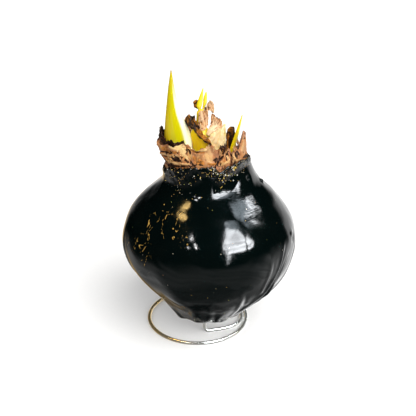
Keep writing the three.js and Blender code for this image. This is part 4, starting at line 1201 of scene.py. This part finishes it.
def reflected(azimuth, elevation):
    """Colour and brightness of the surroundings in each direction, as gloss shows them."""
    light = 0
    for corners, softness, power, colour in SOFT_SHAPES.values():
        share = share_inside(corners, softness, azimuth, elevation)
        light = light + power * share[..., None] * colour
    where = stack(azimuth * cos(radians(elevation)), elevation, 0.0)
    light = light * (1 + 0.35 * noise(where, 9, 91) + 0.6 * noise(where * (0.3, 1, 1), 2.5, 92))[..., None]

    below = smooth(-6, -28, elevation + 9 * noise(where, 20, 93))
    near_share = lerp(0.35, 1, smooth(-66, -42, elevation))
    far_share = lerp(0.1, 1, smooth(-71, -56, elevation))
    floor_glow = along(FLOOR_GLOW, azimuth) * below * lerp(near_share, far_share, hill((azimuth - 88) / 50))
    floor_glow = floor_glow * (1 + 0.35 * noise(where, 12, 94))
    behind = smooth(27, 33, azimuth) * (1 - smooth(110, 127, azimuth))
    behind = behind * smooth(14, 1, elevation) * smooth(-60, -44, elevation)
    own_shadow = near(azimuth, 106, 12) * smooth(-33, -40, elevation)
    glow = np.maximum(floor_glow, 1.4 * behind) * (1 - 0.85 * own_shadow)
    golden = near(azimuth, 115, 20) * smooth(0, -30, elevation) * smooth(-56, -46, elevation)
    return np.maximum(light, 0) + glow[..., None] * (1 - golden[..., None] * (1 - 0.7 * np.array(GOLD)))


def reflection_dome():
    """A sphere round the object that only the gloss sees."""
    azimuth, elevation = arange(360)[None], linspace(-89.5, 89.5, 180)[:, None]
    a, e = radians(azimuth), radians(elevation)
    points = stack(cos(a) * cos(e), sin(a) * cos(e), sin(e)) * DOME_RADIUS + (0, 0, DOME_CENTRE_Z)
    ids = arange(a.size * e.size).reshape(e.size, a.size)
    ids = np.hstack([ids, ids[:, :1]])
    faces = np.stack([ids[c] for c in CORNERS], -1).reshape(-1, 4)
    mesh = bpy.data.meshes.new("reflection_dome")
    mesh.from_pydata(points.reshape(-1, 3).tolist(), [], faces.tolist())
    colour_points(mesh, "glow", reflected(azimuth, elevation).reshape(-1, 3))
    s = Shader("reflection_glow")
    emission = s.add("ShaderNodeEmission", {"Color": s.attribute("glow")})
    s.put(emission.outputs["Emission"], s.tree.nodes["Material Output"].inputs["Surface"])
    s.material.cycles.emission_sampling = "NONE"
    mesh.materials.append(s.material)
    dome = new_object("reflection_dome", mesh)
    for ray in ("camera", "diffuse", "transmission", "volume_scatter", "shadow"):
        setattr(dome, "visible_" + ray, False)


def studio():
    world = bpy.data.worlds.new("studio")
    world.use_nodes = True
    background = world.node_tree.nodes["Background"]
    background.inputs["Color"].default_value = (1, 1, 1, 1)
    background.inputs["Strength"].default_value = 0.54
    world.cycles_visibility.glossy = False
    bpy.context.scene.world = world
    soft_light("key", azimuth=303, elevation=41, strength=4.25, softness=58)
    soft_light("fill", azimuth=248, elevation=36, strength=0.5, softness=38)
    reflection_dome()


def soft_light(name, azimuth, elevation, strength, softness):
    """A light from far off for the matt surfaces alone, softness degrees across."""
    light = bpy.data.lights.new(name, "SUN")
    light.energy = strength
    light.angle = radians(softness)
    light.color = (1, 0.99, 0.97)
    made = new_object(name, light)
    made.rotation_euler = (pi / 2 - radians(elevation), 0, radians(azimuth) + pi / 2)
    made.visible_glossy = False


def camera():
    """The photograph's view: 0.47 m from the object and looking 25.3 degrees down."""
    picture, focal_length = 416, 800  # pixels
    pitch, distance = radians(25.31), 0.4728
    aim_x, aim_z = 0.00223, 0.08732  # metres from the spike's axis, and above the surface
    data = bpy.data.cameras.new("camera")
    data.sensor_width = 36
    data.lens = focal_length / picture * data.sensor_width
    data.clip_start, data.clip_end = 0.01, 50
    made = new_object("camera", data)
    made.location = (
        SPIKE_AXIS[0] + aim_x, SPIKE_AXIS[1] - distance * cos(pitch), aim_z + distance * sin(pitch)
    )
    made.rotation_euler = (pi / 2 - pitch, 0, 0)
    bpy.context.scene.camera = made


floor()
studio()
camera()
bpy.context.scene.view_settings.view_transform = "Standard"
